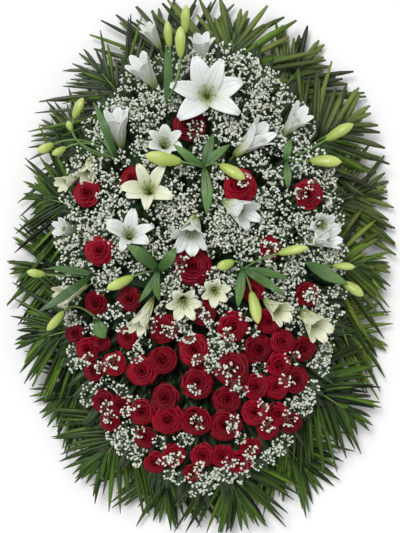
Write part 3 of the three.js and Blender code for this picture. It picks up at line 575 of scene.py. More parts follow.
def build_frond(number, rib, random):
    start, stop, end = rib
    level = HIGH_LEVEL if number % 2 == 0 else LOW_LEVEL
    ahead = unit(stop - start)
    left = np.array([-ahead[1], ahead[0], 0.0])
    length = np.linalg.norm(stop - start)
    material, half, blunt, sag = frond_style(*end[:2])
    limit = OUTLINE_SLACK * FROND_REACH[number] ** OUTLINE_POWER
    is_cut = end[1] > CUT_ABOVE
    jumble, shortest = (CUT_JUMBLE, CUT_SHORTEST) if is_cut else (FINE_JUMBLE, FINE_SHORTEST)
    heap = Heap()

    def spot(part):
        point = start + ahead * length * part
        outward = max(part, 0)
        point[2] = level[0] + (level[1] - level[0]) * outward + RIB_ARCH * math.sin(math.pi * outward)
        return point

    run = np.array([spot(part) for part in np.linspace(-SOCKET / length, 1.12, RIB_POINTS)])
    add_tube(heap, run, np.linspace(*RIB_RADII, RIB_POINTS), sides=6, tone=0.8, slot=1)
    for k in range(LEAFLETS):
        part = (k + 0.5) / LEAFLETS
        angle = math.radians(FOOT_ANGLE - ANGLE_LOSS * part)
        for way in (1, -1):
            turn = angle + random.uniform(-jumble, jumble)
            heading = ahead * math.cos(turn) + left * way * math.sin(turn)
            root = spot(1.06 * part + random.uniform(-0.01, 0.01))
            stray = random.uniform(0, 1) < STRAY_SHARE and is_cut
            stretch = STRAY_REACH if stray else random.uniform(shortest, 1.08)
            reach = (FOOT_LENGTH - LENGTH_LOSS * part) * stretch
            edge = limit * (STRAY_EDGE if stray else random.uniform(shortest, 1.06))
            while outline_share(*(root + heading * reach)[:2]) > edge and reach > SHORTEST_LEAFLET:
                reach -= 4
            size = half * random.uniform(0.8, 1.15)
            fall = sag * random.uniform(0.4, 1.3)
            slot = 2 if random.uniform(0, 1) < BRIGHT_SHARE else 0
            drop = random.uniform(2, 24)
            leaflet(heap, root, heading, reach, size, blunt, fall, drop, random.uniform(0, 1), slot)
    for way in (-0.12, 0.1):
        heading = unit(ahead + left * way)
        reach = np.linalg.norm(end - stop) * 0.94
        leaflet(heap, spot(1.08), heading, reach, half, blunt, sag * 0.3, 8.0, random.uniform(0.4, 1.0))
    name = f"frond_{number + 1:02d}"
    piece = make_object(f"{name}_leaflets", heap, [material, RIB_GREEN, FROND_BRIGHT])
    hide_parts(name)
    return piece


frond_random = np.random.default_rng(5)
fronds = [build_frond(number, rib, frond_random) for number, rib in enumerate(RIBS)]
print("fronds:", len(fronds), "faces in one:", len(fronds[0].data.polygons))

# %% [markdown]
# ## Roses
# A rose head is a spiral: tight, upright petals in the heart, and wider ones that open and roll back at
# their rims further out. Each petal is a piece of a bowl, worked out from its place in the spiral, so that
# all heads follow one rule and still differ.

# %% Places of the roses: x, y, diameter and lift, as the solids have them
ROSES = {
    "rose_top": [(-24, 298, 60, -12)],
    "roses_left_upper": [(-239, 156, 53, 0), (-210, 33, 53, 12)],
    "rose_left_inner": [(-142, 181, 47, 0)],
    "roses_right_upper": [(82, 167, 62, 0), (147, 39, 44, -14), (225, 150, 55, 12)],
    "roses_right_middle": [(225, -58, 48, 0), (111, -49, 46, -16)],
    "roses_middle": [(-15, 1, 68, 0), (8, -95, 46, -6)],
    "roses_left_middle": [(-218, -77, 46, 0), (-147, -68, 46, -6)],
    "roses_bank_left": [
        (-263, -140, 38, -6), (-235, -173, 46, 4), (-208, -158, 36, -2), (-179, -203, 44, 0),
        (-223, -219, 40, -8), (-151, -148, 44, -6), (-120, -217, 57, 4), (-204, -285, 44, -2),
        (-166, -291, 42, 2), (-189, -327, 38, -4), (-122, -303, 52, 2), (-116, -358, 42, -4),
        (-95, -413, 42, 0)],
    "roses_bank_middle": [
        (-74, -129, 55, -8), (-13, -171, 57, 4), (-78, -194, 53, 0), (-6, -240, 60, 2), (65, -211, 63, 4),
        (-74, -272, 50, -2), (-67, -320, 57, 4), (-11, -322, 58, 0), (-55, -396, 44, -6), (6, -396, 46, 2),
        (46, -396, 44, -2), (53, -331, 60, 3), (57, -276, 52, -4), (-15, -436, 36, -8), (69, -125, 57, 0)],
    "roses_bank_right": [
        (143, -114, 46, -6), (172, -156, 46, 2), (124, -173, 55, 0), (216, -173, 48, -4), (166, -205, 48, 4),
        (202, -236, 50, 0), (115, -250, 50, 2), (158, -251, 46, -2), (113, -303, 50, 3), (162, -310, 44, 0),
        (193, -331, 42, -4), (143, -343, 42, 2), (107, -381, 40, -2), (80, -413, 48, -6)],
}
print("roses:", sum(len(rows) for rows in ROSES.values()))

# %% [markdown]
# ### One rose
# The petal at place n of the spiral turns by the golden angle from the one before. Its radius, height and
# the roll of its rim grow from the heart outwards.

# %% Petals and sepals of a rose
GOLDEN = math.radians(137.5)
UPRIGHT = 0.9999
ROSE_PETALS = 24
ROSE_SEPALS = 5
PETAL_ROWS, PETAL_COLUMNS = 7, 7
PETAL_WAVE = 0.045


def turned(points, axis):
    """Points of a flower that was made upright, leaned so that it looks along the axis."""
    side = unit(np.cross(UP, axis)) if abs(axis[2]) < UPRIGHT else SIDEWAYS
    ahead = np.cross(axis, side)
    return points[..., :1] * side + points[..., 1:2] * ahead + points[..., 2:] * axis


def rose_petal(radius, part, turn, cup, random):
    """part is 0 in the heart and 1 at the outside, and cup is how upright the petals stand."""
    v = np.linspace(0, 1, PETAL_ROWS)[:, None]
    u = np.linspace(-1, 1, PETAL_COLUMNS)[None, :]
    foot = radius * (0.05 + 0.20 * part)
    rim = radius * (0.07 + 0.86 * part ** 0.85) * random.uniform(0.94, 1.04)
    top = radius * (0.50 * cup - 0.58 * part ** 1.5) + radius * random.uniform(-0.03, 0.03)
    bottom = -0.56 * radius
    open_out = v ** (1.9 - 1.35 * part)
    lip = np.clip((v - 0.72) / 0.28, 0, 1) ** 2
    point = 1 - 0.20 * np.abs(u) ** 1.6
    spread = math.radians(125 - 62 * part)
    wave = PETAL_WAVE * radius * np.sin(4.0 * u + random.uniform(0, 6)) * v ** 2
    out = foot + (rim - foot) * open_out + radius * 0.13 * part * lip * (0.4 + 0.6 * np.abs(u)) + wave
    height = bottom + (top - bottom) * v ** 0.9 * point - radius * 0.10 * part * lip * (0.3 + 0.7 * np.abs(u))
    angle = turn + u * spread * (0.5 + 0.5 * v ** 0.5)
    out = out * (1 + 0.05 * u * (1 - part))
    return np.stack([out * np.cos(angle), out * np.sin(angle), height + 0 * u], axis=-1)


def sepal(radius, turn):
    v = np.linspace(0, 1, 5)[:, None]
    u = np.linspace(-1, 1, 3)[None, :]
    out = radius * (0.08 + 0.74 * v)
    height = radius * (-0.60 + 0.12 * v - 0.3 * v ** 2) + 0 * u
    angle = turn + 0.30 * u * (1 - v) ** 0.7
    return np.stack([out * np.cos(angle), out * np.sin(angle), height], axis=-1)


print("points of a petal:", PETAL_ROWS * PETAL_COLUMNS)

# %% Build the roses
ROSE_FULL = 1.2
ROSE_BASE = 0.62
ROSE_LEAN = 0.2
ROSE_STEM = 2.2
ROSE_DRAW_IN = 0.93
FOAM_DEPTH = 10


def build_roses(name, rows, random):
    heap = Heap()
    for x, y, diameter, lift in rows:
        radius = ROSE_FULL * diameter / 2
        centre = np.array([x, y, dome_height(x, y) + lift])
        lean_x = x / 900 + random.uniform(-ROSE_LEAN, ROSE_LEAN)
        lean_y = y / 1300 + random.uniform(-ROSE_LEAN, ROSE_LEAN)
        axis = unit(np.array([lean_x, lean_y, 1.0]))
        start = random.uniform(0, 2 * math.pi)
        tone = random.uniform(0.25, 1.0)
        cup = random.uniform(0.75, 1.2)
        for n in range(ROSE_PETALS):
            part = ((n + 0.5) / ROSE_PETALS) ** 0.9
            grid = rose_petal(radius, part, start + n * GOLDEN, cup, random)
            # Petals nearer the heart get a lower tone and so more of the darkest colour: painted shade in the
            # heart of the spiral, on top of a random tone for each rose and petal.
            tone_and_heart_shade = min(1.0, max(0.0, tone * (0.55 + 0.6 * part) + random.uniform(-0.1, 0.1)))
            add_sheet(heap, centre + turned(grid, axis), tone_and_heart_shade)
        base = centre - axis * radius * ROSE_BASE
        foot = in_foam(x, y, ROSE_DRAW_IN, FOAM_DEPTH)
        stem = curve_points(foot, base - axis * 20, base + axis * 3, 5)
        add_tube(heap, stem, [ROSE_STEM] * 5, slot=1)
        for n in range(ROSE_SEPALS):
            grid = sepal(radius, start + n * 2 * math.pi / ROSE_SEPALS)
            add_sheet(heap, centre + turned(grid, axis), 0.6, 1)
    piece = make_object(f"{name}_petals", heap, [ROSE_RED, STEM_GREEN])
    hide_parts(name)
    return piece


rose_random = np.random.default_rng(11)
roses = [build_roses(name, rows, rose_random) for name, rows in ROSES.items()]
print("faces in the largest rose piece:", max(len(piece.data.polygons) for piece in roses))

# %% [markdown]
# ## Lilies
# A lily has six petals that stand together as a narrow tube, then open and roll back. The petal is a long
# sheet whose width follows a leaf's outline, with a groove along its midrib. Most lilies here are seen from
# the side, so each has its base, the place of its mouth, the width of its mouth and its true length.

# %% Places of the lilies: base, mouth, width, length and lift, as the solids have them
LILIES = {
    "lily_top": [(15, 356, 15, 356, 150, 62, 12)],
    "lilies_top_left": [
        (4, 426, 4, 482, 56, 68, -10), (-92, 377, -134, 429, 60, 84, 0), (-84, 462, -113, 505, 40, 66, 0)],
    "lilies_left_upper": [(-166, 249, -176, 318, 62, 86, 0), (-76, 246, -70, 262, 72, 64, -8)],
    "lilies_far_left": [(-231, 232, -237, 184, 44, 66, 2), (-256, 190, -292, 170, 38, 60, 2)],
    "lily_left_star": [(-105, 150, -106, 166, 104, 70, 6)],
    "lilies_right_upper": [(72, 232, 138, 282, 68, 96, 0), (174, 276, 214, 320, 56, 84, 0)],
    "lilies_centre": [(-11, 106, -24, 46, 78, 92, 12), (46, 138, 105, 102, 68, 88, 6)],
    "lilies_far_right": [(246, 96, 262, 80, 66, 60, -10), (226, 50, 282, 60, 50, 78, 0)],
    "lilies_left_middle": [(-147, 56, -145, 74, 96, 64, 4), (-262, 70, -296, 84, 44, 58, -12)],
    "lilies_middle": [
        (-36, -62, -33, -80, 74, 60, 12), (28, -46, 32, -54, 62, 52, 0), (-98, -66, -130, -130, 46, 92, 14)],
    "lilies_right_middle": [(134, -70, 172, -98, 54, 76, 12), (212, -92, 250, -134, 66, 84, 8)],
    "lily_left_low": [(-236, -40, -292, -64, 50, 80, 12)],
}
CREAM = {"lilies_far_left", "lilies_middle", "lily_left_low", "lilies_right_middle", "lily_left_star"}
# The three flat stars look at the camera, so the way of each petal is set, in degrees round the face
PETAL_WAYS = {
    "lily_top": (172, 112, 68, 20, -35, -143),
    "lily_left_star": (55, -23, -98, -150, 117, 180),
    "lilies_left_middle": (174, 158, -109, -37, 12, 80),
}
print("lilies:", sum(len(rows) for rows in LILIES.values()))

# %% [markdown]
# ### Petals of a lily
# A narrow lily is a trumpet and a wide one is a flat star. The run of a petal is given for both, as its
# place along the flower's axis and out from it, and every lily takes its share of the two.

# %% One lily petal
PETAL_PLACES = [0, 0.25, 0.5, 0.75, 0.9, 1.0]
CLOSED_ALONG = np.array([0, 0.26, 0.54, 0.80, 0.93, 1.0])
CLOSED_OUT = np.array([0.06, 0.22, 0.42, 0.68, 0.85, 1.0])
OPEN_ALONG = np.array([0, 0.30, 0.60, 0.87, 0.95, 0.92])
OPEN_OUT = np.array([0.05, 0.15, 0.32, 0.62, 0.87, 1.06])
GROOVE = 1.8


def openness(length, width):
    """0 for a narrow trumpet and 1 for a flat star."""
    return min(1.0, max(0.0, (width / length - 0.75) / 0.7))


def lily_petal(length, width, turn, share, stretch, random):
    v = np.linspace(0, 1, 11)[:, None]
    u = np.linspace(-1, 1, 7)[None, :]
    open_share = openness(length, width)
    along = np.interp(v, PETAL_PLACES, CLOSED_ALONG + (OPEN_ALONG - CLOSED_ALONG) * open_share) * length
    out = np.interp(v, PETAL_PLACES, CLOSED_OUT + (OPEN_OUT - CLOSED_OUT) * open_share) * width / 2 * stretch
    outline = np.sin(np.pi * np.clip(0.05 + 0.92 * v ** 1.2, 0, 1)) ** 0.62
    half = width * share * (0.23 - 0.09 * open_share) * outline + 0.4
    groove = GROOVE * np.exp(-(u * 3.5) ** 2) * outline
    wave = 1.8 * np.sin(8 * v + random.uniform(0, 6)) * np.abs(u) ** 2 * v
    angle = turn + random.uniform(-0.1, 0.1)
    radial = pointing(angle)
    side = np.array([-math.sin(angle), math.cos(angle), 0.0])
    cup = 0.45 * half * u ** 2 * (1 - 0.6 * v)
    points = radial * (out - cup * (1 - v))[..., None] + side * (half * u)[..., None]
    return points + UP * (along + cup * v - groove + wave)[..., None]


print("openness of the widest lily:", openness(62, 150))

# %% Build the lilies
BASE_SINK = 30.0
LILY_PETALS = 6
# Share of the width and of the length: narrow outer petals, then broad and shorter inner ones
PETAL_KINDS = ((0.88, 1.0), (1.12, 0.96))
STAMEN = 0.7
ANTHER_HALF = 3.2
LILY_STEM = 2.6
LILY_DRAW_IN = 0.9


def even_turns(start):
    return [start + n * 2 * math.pi / LILY_PETALS for n in range(LILY_PETALS)]


def petal_turns(name, axis, start):
    """Ways the petals of a well seen star point, from degrees in the face to angles about its own axis."""
    if name not in PETAL_WAYS:
        return even_turns(start)
    lean = math.atan2(axis[1], axis[0]) + math.pi / 2 if abs(axis[2]) < UPRIGHT else 0.0
    return [math.radians(way) - lean for way in PETAL_WAYS[name]]


def add_stamens(heap, base, axis, start, length, width):
    """Six stamens with their anthers, and the pistil in the middle."""
    reach = 0.66 + 0.2 * openness(length, width)
    for n in range(LILY_PETALS):
        lean = pointing(start + (n + 0.5) * math.pi / 3)
        line = curve_points(UP * 0.1 * length, UP * 0.5 * length + lean * 2,
                            UP * reach * length + lean * 0.12 * width, 5)
        add_tube(heap, base + turned(line, axis), [STAMEN] * 5, sides=4, tone=0.9, slot=1)
        across = np.array([-lean[1], lean[0], 0.2]) * ANTHER_HALF
        tip = base + turned(np.array([line[-1] - across, line[-1], line[-1] + across]), axis)
        add_tube(heap, tip, [0.7, 1.2, 0.7], tone=0.6, slot=2)
    pistil = np.array([[0, 0, 0.05], [0, 0, 0.5], [0, 0, reach + 0.06]]) * length
    add_tube(heap, base + turned(pistil, axis), [1.6, 1.0, 1.5], tone=0.9, slot=1)


def build_lilies(name, rows, random):
    heap = Heap()
    for x0, y0, x1, y1, width, length, lift in rows:
        seen = math.hypot(x1 - x0, y1 - y0)
        rise = math.sqrt(max(length ** 2 - seen ** 2, 0))
        base = np.array([x0, y0, dome_height(x0, y0) - BASE_SINK + lift])
        axis = unit(np.array([x1 - x0, y1 - y0, rise]))
        start = random.uniform(0, 2)
        turns = petal_turns(name, axis, start) if (x0, y0) == rows[0][:2] else even_turns(start)
        for n, turn in enumerate(turns):
            share, reach = PETAL_KINDS[n % 2]
            stretch = random.uniform(0.9, 1.04)
            grid = lily_petal(length * reach, width, turn, share, stretch, random)
            add_sheet(heap, base + turned(grid, axis), random.uniform(0.4, 1.0))
        add_stamens(heap, base, axis, start, length, width)
        foot = in_foam(x0, y0, LILY_DRAW_IN, FOAM_DEPTH)
        stem = curve_points(foot, base - axis * 26, base + axis * 4, 6)
        add_tube(heap, stem, [LILY_STEM] * 6, sides=6, tone=0.6, slot=1)
    petal = LILY_CREAM if name in CREAM else LILY_WHITE
    piece = make_object(f"{name}_petals", heap, [petal, STEM_GREEN, ANTHER])
    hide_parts(name)
    return piece


lily_random = np.random.default_rng(23)
lilies = [build_lilies(name, rows, lily_random) for name, rows in LILIES.items()]
print("faces in the largest lily piece:", max(len(piece.data.polygons) for piece in lilies))

# %% [markdown]
# ## Buds and leaves of the lily stems
# The leafy stems carry closed buds and glossy leaves that lie over the other flowers. How high each of them
# lies was settled in the solids, so a ray is dropped on the solid to find it, and the finer bud or leaf
# goes there.

# %% Places of the leafy stems: buds and leaves as the solids have them
LEAFY_STEMS = {
    "buds_top": ([(-66, 486, 57, 19, 95), (-40, 459, 63, 22, 90), (-30, 514, 58, 20, 87)], [(-72, 462, 10)]),
    "buds_left_upper": (
        [(-256, 333, 48, 21, 65), (-326, 251, 38, 21, 205), (-296, 243, 34, 17, 208),
         (-274, 296, 22, 15, 110)],
        [(-222, 343, 9), (-205, 262, 8)]),
    "buds_upper_middle": (
        [(-74, 220, 76, 30, 170), (66, 194, 60, 25, -30)],
        [(-54, 250, 10), (28, 276, 11), (62, 252, 10), (13, 106, 13)]),
    "buds_right_upper": ([(292, 282, 67, 25, 30), (262, 219, 65, 27, -3)], [(190, 266, 9), (182, 160, 9)]),
    "buds_far_left": ([(-344, -14, 40, 19, 172)], [(-318, -2, 9), (-338, -94, 10)]),
    "buds_left_middle": (
        [(-164, -33, 60, 23, 205)],
        [(-149, 45, 15), (-48, 38, 13), (-82, -72, 9), (-126, -74, 8)]),
    "buds_right_middle": (
        [(52, 4, 38, 23, 200), (112, -84, 67, 25, -78), (191, 33, 63, 20, 12)],
        [(185, -26, 9), (78, -84, 11), (172, -58, 10)]),
    "buds_far_right": ([(300, 0, 46, 17, -3), (321, -47, 50, 23, -35)], [(310, -38, 14)]),
    "buds_low_left": ([(-298, -112, 52, 19, 230)], [(-196, -150, 16)]),
}


def solid_tree(name):
    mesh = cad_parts[name].data
    return BVHTree.FromPolygons([v.co[:] for v in mesh.vertices], [p.vertices[:] for p in mesh.polygons])


def top_of(tree, x, y, otherwise):
    """Height of the solid at a place of the face, in millimetres."""
    start = Vector((x * MM + MIDDLE[0], y * MM + MIDDLE[1], 1.0))
    hit = tree.ray_cast(start, Vector((0, 0, -1)))
    return hit[0][2] / MM if hit[0] is not None else otherwise


def column_of(name):
    """Where the stem of the solid stands in the foam: the mean of its lowest points."""
    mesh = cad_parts[name].data
    points = np.array([v.co[:] for v in mesh.vertices]) - MIDDLE
    low = points[points[:, 2] < points[:, 2].min() + 0.004]
    return low.mean(axis=0) / MM


print("first stem stands at, mm:", np.round(column_of("buds_top"), 1))

# %% Build the leafy stems
BUD_SLOPE = 0.16
BUD_RINGS, BUD_SIDES = 12, 12
BUD_PLACES = [0, 0.06, 0.25, 0.6, 0.85, 0.96, 1.0]
BUD_GIRTHS = [0.22, 0.5, 0.8, 1.0, 0.72, 0.4, 0.12]
LOBE_DEPTH = 0.09
LEAF_POINTS = 9
LEAF_PLACES = [0, 0.15, 0.5, 0.8, 1.0]
LEAF_HALVES = [0.25, 0.7, 1.0, 0.62, 0.06]
LEAF_CURL = 6.0
LEAF_THICK = 0.9


def lily_bud(heap, centre, axis, length, width, random):
    v = np.linspace(0, 1, BUD_RINGS)
    girth = np.interp(v, BUD_PLACES, BUD_GIRTHS) * width / 2
    turn = np.arange(BUD_SIDES) * 2 * math.pi / BUD_SIDES + random.uniform(0, 1)
    lobes = 1 + LOBE_DEPTH * np.cos(3 * turn)[None, :] * np.sin(math.pi * v)[:, None]
    ring = girth[:, None] * lobes
    height = np.repeat(((v - 0.5) * length)[:, None], BUD_SIDES, 1)
    points = np.stack([ring * np.cos(turn), ring * np.sin(turn), height], -1)
    points = (centre + turned(points, axis)).reshape(-1, 3)
    caps = np.array([centre - axis * length / 2, centre + axis * (length / 2 + 1)])
    marks = tube_marks(v, np.sin(3 * turn), random.uniform(0.3, 1.0))
    heap.add(np.concatenate([points, caps]), *tube_faces(BUD_RINGS, BUD_SIDES), marks)


def leaf_path(tree, crown, x, y, random):
    """From the crown of the stem to the tip of a leaf, over the top of its solid and a little to one side."""
    tip = np.array([x, y, 0.0])
    path = []
    for part in np.linspace(0, 1, LEAF_POINTS):
        spot = crown * (1 - part) + tip * part
        probe = crown * (1 - 0.97 * part) + tip * 0.97 * part
        spot[2] = top_of(tree, probe[0], probe[1], crown[2])
        path.append(spot)
    path = np.array(path)
    path[:, 2] = np.convolve(np.pad(path[:, 2], 1, mode="edge"), [0.25, 0.5, 0.25], mode="valid")
    side = unit(np.array([-(tip - crown)[1], (tip - crown)[0], 0.0]))
    curl = side * (LEAF_CURL * random.uniform(-1, 1))
    return path + curl * np.sin(np.linspace(0, math.pi, LEAF_POINTS))[:, None]


def build_leafy_stem(name, plant, random):
    buds, leaves = plant
    tree = solid_tree(name)
    column = column_of(name)
    x, y = column[:2]
    crown = np.array([x, y, top_of(tree, x, y, dome_height(x, y)) - 2])
    heap = Heap()
    add_tube(heap, np.linspace(column + UP * 4, crown, 4), [2.8, 2.8, 2.6, 2.0], sides=6, slot=1)
    for x, y, length, width, degrees in buds:
        axis = unit(pointing(math.radians(degrees), BUD_SLOPE))
        centre = np.array([x, y, top_of(tree, x, y, dome_height(x, y) + 20) - width / 2])
        lily_bud(heap, centre, axis, length, width, random)
        tail = centre - axis * length / 2
        bend = tail - axis * 0.5 * np.linalg.norm((tail - crown)[:2])
        bend[2] = max(bend[2], min(crown[2], tail[2]))
        stalk = curve_points(crown, bend, tail + axis * 2, 8)
        add_tube(heap, stalk, np.linspace(2.0, 2.4, 8), sides=6, slot=1)
    for x, y, half in leaves:
        path = leaf_path(tree, crown, x, y, random)
        halves = half * np.interp(np.linspace(0, 1, LEAF_POINTS), LEAF_PLACES, LEAF_HALVES)
        tone = random.uniform(0.3, 1.0)
        add_blade(heap, path, halves, UP, fold=0.22, tone=tone, slot=2, columns=7, thick=LEAF_THICK)
    piece = make_object(f"{name}_stem", heap, [BUD_GREEN, STEM_GREEN, LEAF_GREEN])
    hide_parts(name)
    return piece


stem_random = np.random.default_rng(31)
leafy_stems = [build_leafy_stem(name, plant, stem_random) for name, plant in LEAFY_STEMS.items()]
print("leafy stems:", len(leafy_stems))

# %% [markdown]
# ## Filling leaves
# Between the flowers the eye meets very dark green, not foam: florists cover the bed with short sprigs of
# leaves before the flowers go in, and their near-black colour also paints the shade in the gaps. They are
# broad folded blades that stand out of the foam at all angles, under the heads.

# %% Build the filling leaves
FILL_COUNT = 860
SKIRT_COUNT = 200
FILL_POINTS = 6
FILL_PLACES = [0, 0.3, 0.65, 1.0]
FILL_HALVES = [0.2, 0.8, 1.0, 0.08]
SKIRT_HALVES = [0.3, 0.9, 1.0, 0.08]
FILL_BOW = 14.0
FOAM_SIDE = 66.0
NEARLY_UP = np.array([0.05, 0.02, 1.0])


def random_place(random):
    """A place in the oval of the flowers, as likely in one part of it as in another."""
    angle = random.uniform(0, 2 * math.pi)
    share = math.sqrt(random.uniform(0, 1))
    return FIELD_HALF[0] * share * math.cos(angle), FIELD_HALF[1] * share * math.sin(angle)


def add_filling_leaf(heap, root, end, bow, half, profile, tone):
    path = curve_points(root, (root + end) / 2 + UP * bow, end, FILL_POINTS)
    halves = half * np.interp(np.linspace(0, 1, FILL_POINTS), FILL_PLACES, profile)
    add_blade(heap, path, halves, NEARLY_UP, fold=0.3, tone=tone)


def add_skirt_leaf(heap, random):
    """A leaf from the side of the foam, which hides it over the feet of the fronds."""
    way = pointing(random.uniform(0, 2 * math.pi))[:2]
    share = random.uniform(1.0, 1.1)
    foot = np.append(way * FOAM_HALF * 0.98, random.uniform(64, 78))
    end = np.append(way * FIELD_HALF * share, random.uniform(66, 98))
    add_filling_leaf(heap, foot, end, random.uniform(12, 28), random.uniform(6, 12), SKIRT_HALVES,
                     random.uniform(0.2, 1.0))


def build_filling(random):
    heap = Heap()
    for _ in range(SKIRT_COUNT):
        add_skirt_leaf(heap, random)
    for _ in range(FILL_COUNT):
        x, y = random_place(random)
        foot_x, foot_y = x * 0.8, y * 0.82
        root = np.array([foot_x, foot_y, foam_height(foot_x, foot_y) - 4])
        if math.hypot(foot_x / FOAM_HALF[0], foot_y / FOAM_HALF[1]) > 1:
            root[2] = FOAM_SIDE
        swing = random.uniform(0, 2 * math.pi)
        lean = pointing(swing) * random.uniform(10, 40)
        end = np.array([x, y, dome_height(x, y) - random.uniform(22, 60)]) + lean
        end[2] = max(end[2], root[2] + 6)
        add_filling_leaf(heap, root, end, FILL_BOW, random.uniform(5, 11), FILL_HALVES, random.uniform(0, 1))
    piece = make_object("filling_leaves", heap, [FILL_GREEN_AND_SHADE])
    return piece


filling = build_filling(np.random.default_rng(41))
print("faces of the filling:", len(filling.data.polygons))

# %% [markdown]
# ## Baby's breath
# A spray of baby's breath branches again and again into hair-thin stalks, each with a tiny ruffled floret.
# Here each small cluster has a hub with a fan of stalks. Clusters fill the gaps between heads, and a few
# lie over the roses. A ray from above finds how high the flowers are at each place, so that the florets sit
# on or between them.

# %% Heights of the flowers, for what lies among them


def tree_of(pieces):
    points = []
    faces = []
    for piece in pieces:
        mesh = piece.data
        start = len(points)
        points.extend(v.co[:] for v in mesh.vertices)
        faces.extend([start + i for i in p.vertices] for p in mesh.polygons)
    return BVHTree.FromPolygons(points, faces)


rose_tree = tree_of(roses)
lily_tree = tree_of(lilies + leafy_stems)
SPRAYS = ("babys_breath_top", "babys_breath_right_upper", "babys_breath_left", "babys_breath_middle",
          "babys_breath_low_left", "babys_breath_low_right")
spray_columns = {name: column_of(name) for name in SPRAYS}
print("spray stems:", {name: np.round(spot[:2]).tolist() for name, spot in spray_columns.items()})

# %% One floret


def floret(heap, centre, axis, radius, random):
    """Five ruffled petals round a raised middle, as one small closed body."""
    turn = random.uniform(0, 2)
    ring = np.arange(10) * math.pi / 5 + turn
    reach = radius * np.where(np.arange(10) % 2 == 0, 1.0, 0.62)
    rise = radius * np.where(np.arange(10) % 2 == 0, 0.25, 0.0)
    inner = np.arange(5) * 2 * math.pi / 5 + turn + 0.6
    points = [[0, 0, -0.55 * radius]]
    points += [[r * math.cos(a), r * math.sin(a), z] for a, r, z in zip(ring, reach, rise)]
    points += [[0.5 * radius * math.cos(a), 0.5 * radius * math.sin(a), 0.5 * radius] for a in inner]
    points += [[0, 0, 0.62 * radius]]
    marks = np.tile([[1.0, 0.0, random.uniform(0, 1)]], (len(points), 1))
    heap.add(centre + turned(np.array(points), axis), [], FLORET_FACES, marks)


def floret_faces():
    faces = []
    for i in range(10):
        faces.append([0, 1 + (i + 1) % 10, 1 + i])
    for i in range(5):
        a, b, c = 1 + 2 * i, 1 + (2 * i + 1), 1 + (2 * i + 2) % 10
        here, after = 11 + i, 11 + (i + 1) % 5
        faces.append([a, b, here])
        faces.append([b, c, here])
        faces.append([here, c, after])
        faces.append([here, after, 16])
    return faces


FLORET_FACES = floret_faces()
print("faces of a floret:", len(FLORET_FACES))

# %% Places of the clusters
CLUSTERS = 540
CLUSTER_GAP = 9.0
OVER_ROSES = 0.09
LILY_CLEAR = 16.0
ROSE_CLEAR = 20.0
PROBES = ((0, 0), (9, 0), (-9, 0), (0, 9), (0, -9))


def clump(x, y):
    """A smooth uneven pattern between -1 and 1: clusters crowd where it is high."""
    return math.sin(x / 15 + 1.3 * math.sin(y / 31)) * math.sin(y / 17 + 1.1 * math.sin(x / 23))


def cluster_places(random):
    """Uneven places over the field, each with its height: between the heads, and over a few of the roses."""
    places = []
    tries = 0
    while len(places) < CLUSTERS and tries < 20 * CLUSTERS:
        tries += 1
        x, y = random_place(random)
        if clump(x, y) < random.uniform(-1.0, 0.3):
            continue
        if any(math.hypot(x - p[0], y - p[1]) < CLUSTER_GAP for p in places):
            continue
        level = dome_height(x, y) - 8 + random.uniform(-14, 12)
        if top_of(lily_tree, x, y, 0.0) > level - LILY_CLEAR:
            continue
        rose = max(top_of(rose_tree, x + dx, y + dy, 0.0) for dx, dy in PROBES)
        if rose > level - ROSE_CLEAR:
            if random.uniform(0, 1) > OVER_ROSES:
                continue
            level = rose + random.uniform(1, 5)
        places.append((x, y, level))
    return places


cluster_random = np.random.default_rng(37)
clusters = cluster_places(cluster_random)
print("clusters:", len(clusters))

# %% Build the sprays
SPRIGS = 6
STALKS = 3
FLORET_SIZES = (1.7, 2.6, 4.3)
STEM_RADII = [1.1, 1.0, 0.8, 0.6, 0.5]
BRANCH_RADII = [0.45, 0.4, 0.35]
STALK_RADII = [0.35, 0.3, 0.3]
SPRAY_DRAW_IN, SPRAY_DEPTH = 0.9, 6


def add_sprig(heap, hub, angle, random):
    """One branch of a cluster, which forks into three stalks with a floret each."""
    out = pointing(angle, random.uniform(0.0, 0.9))
    fork = hub + unit(out) * random.uniform(4, 15)
    branch = np.array([hub, (hub + fork) / 2 + UP, fork])
    add_tube(heap, branch, BRANCH_RADII, sides=3, tone=0.6, slot=1)
    for _ in range(STALKS):
        swing = angle + random.uniform(-1.9, 1.9)
        axis = unit(pointing(swing, random.uniform(0.2, 1.3)))
        end = fork + axis * random.uniform(3, 8.5)
        if top_of(lily_tree, end[0], end[1], 0.0) > end[2] - 6:
            continue
        rose = top_of(rose_tree, end[0], end[1], 0.0)
        if rose > end[2] - 1:
            if end[2] < rose - 9:
                continue
            end[2] = rose + random.uniform(1.0, 3.0)
        stalk = np.array([fork, (fork + end) / 2, end])
        add_tube(heap, stalk, STALK_RADII, sides=3, tone=0.8, slot=1)
        floret(heap, end, unit(axis + UP * 0.6), random.triangular(*FLORET_SIZES), random)


def build_sprays(random):
    heaps = {name: Heap() for name in SPRAYS}
    for x, y, z in clusters:
        name = min(SPRAYS, key=lambda key: math.hypot(x - spray_columns[key][0], y - spray_columns[key][1]))
        heap = heaps[name]
        hub = np.array([x, y, z])
        stem = curve_points(in_foam(x, y, SPRAY_DRAW_IN, SPRAY_DEPTH), hub - UP * 30, hub, 5)
        add_tube(heap, stem, STEM_RADII, sides=3, slot=1)
        start = random.uniform(0, 2 * math.pi)
        for n in range(SPRIGS):
            add_sprig(heap, hub, start + n * GOLDEN, random)
    pieces = []
    for name, heap in heaps.items():
        piece = make_object(f"{name}_florets", heap, [BREATH_WHITE, BREATH_STEM], smooth=False)
        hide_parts(name)
        pieces.append(piece)
    return pieces


sprays = build_sprays(cluster_random)
print("faces of the sprays:", sum(len(piece.data.polygons) for piece in sprays))

# %% [markdown]
# ## Foam and backing
# The foam and the wooden rails and slats keep their solids, because their shapes are right. They only need
# a finish: dark, grainy foam, and sawn softwood whose grain runs along each board.

# %% Finish of the foam and the wood
FOAM_GRAIN = 420.0
WOOD_ALONG, WOOD_ACROSS = 6, 160


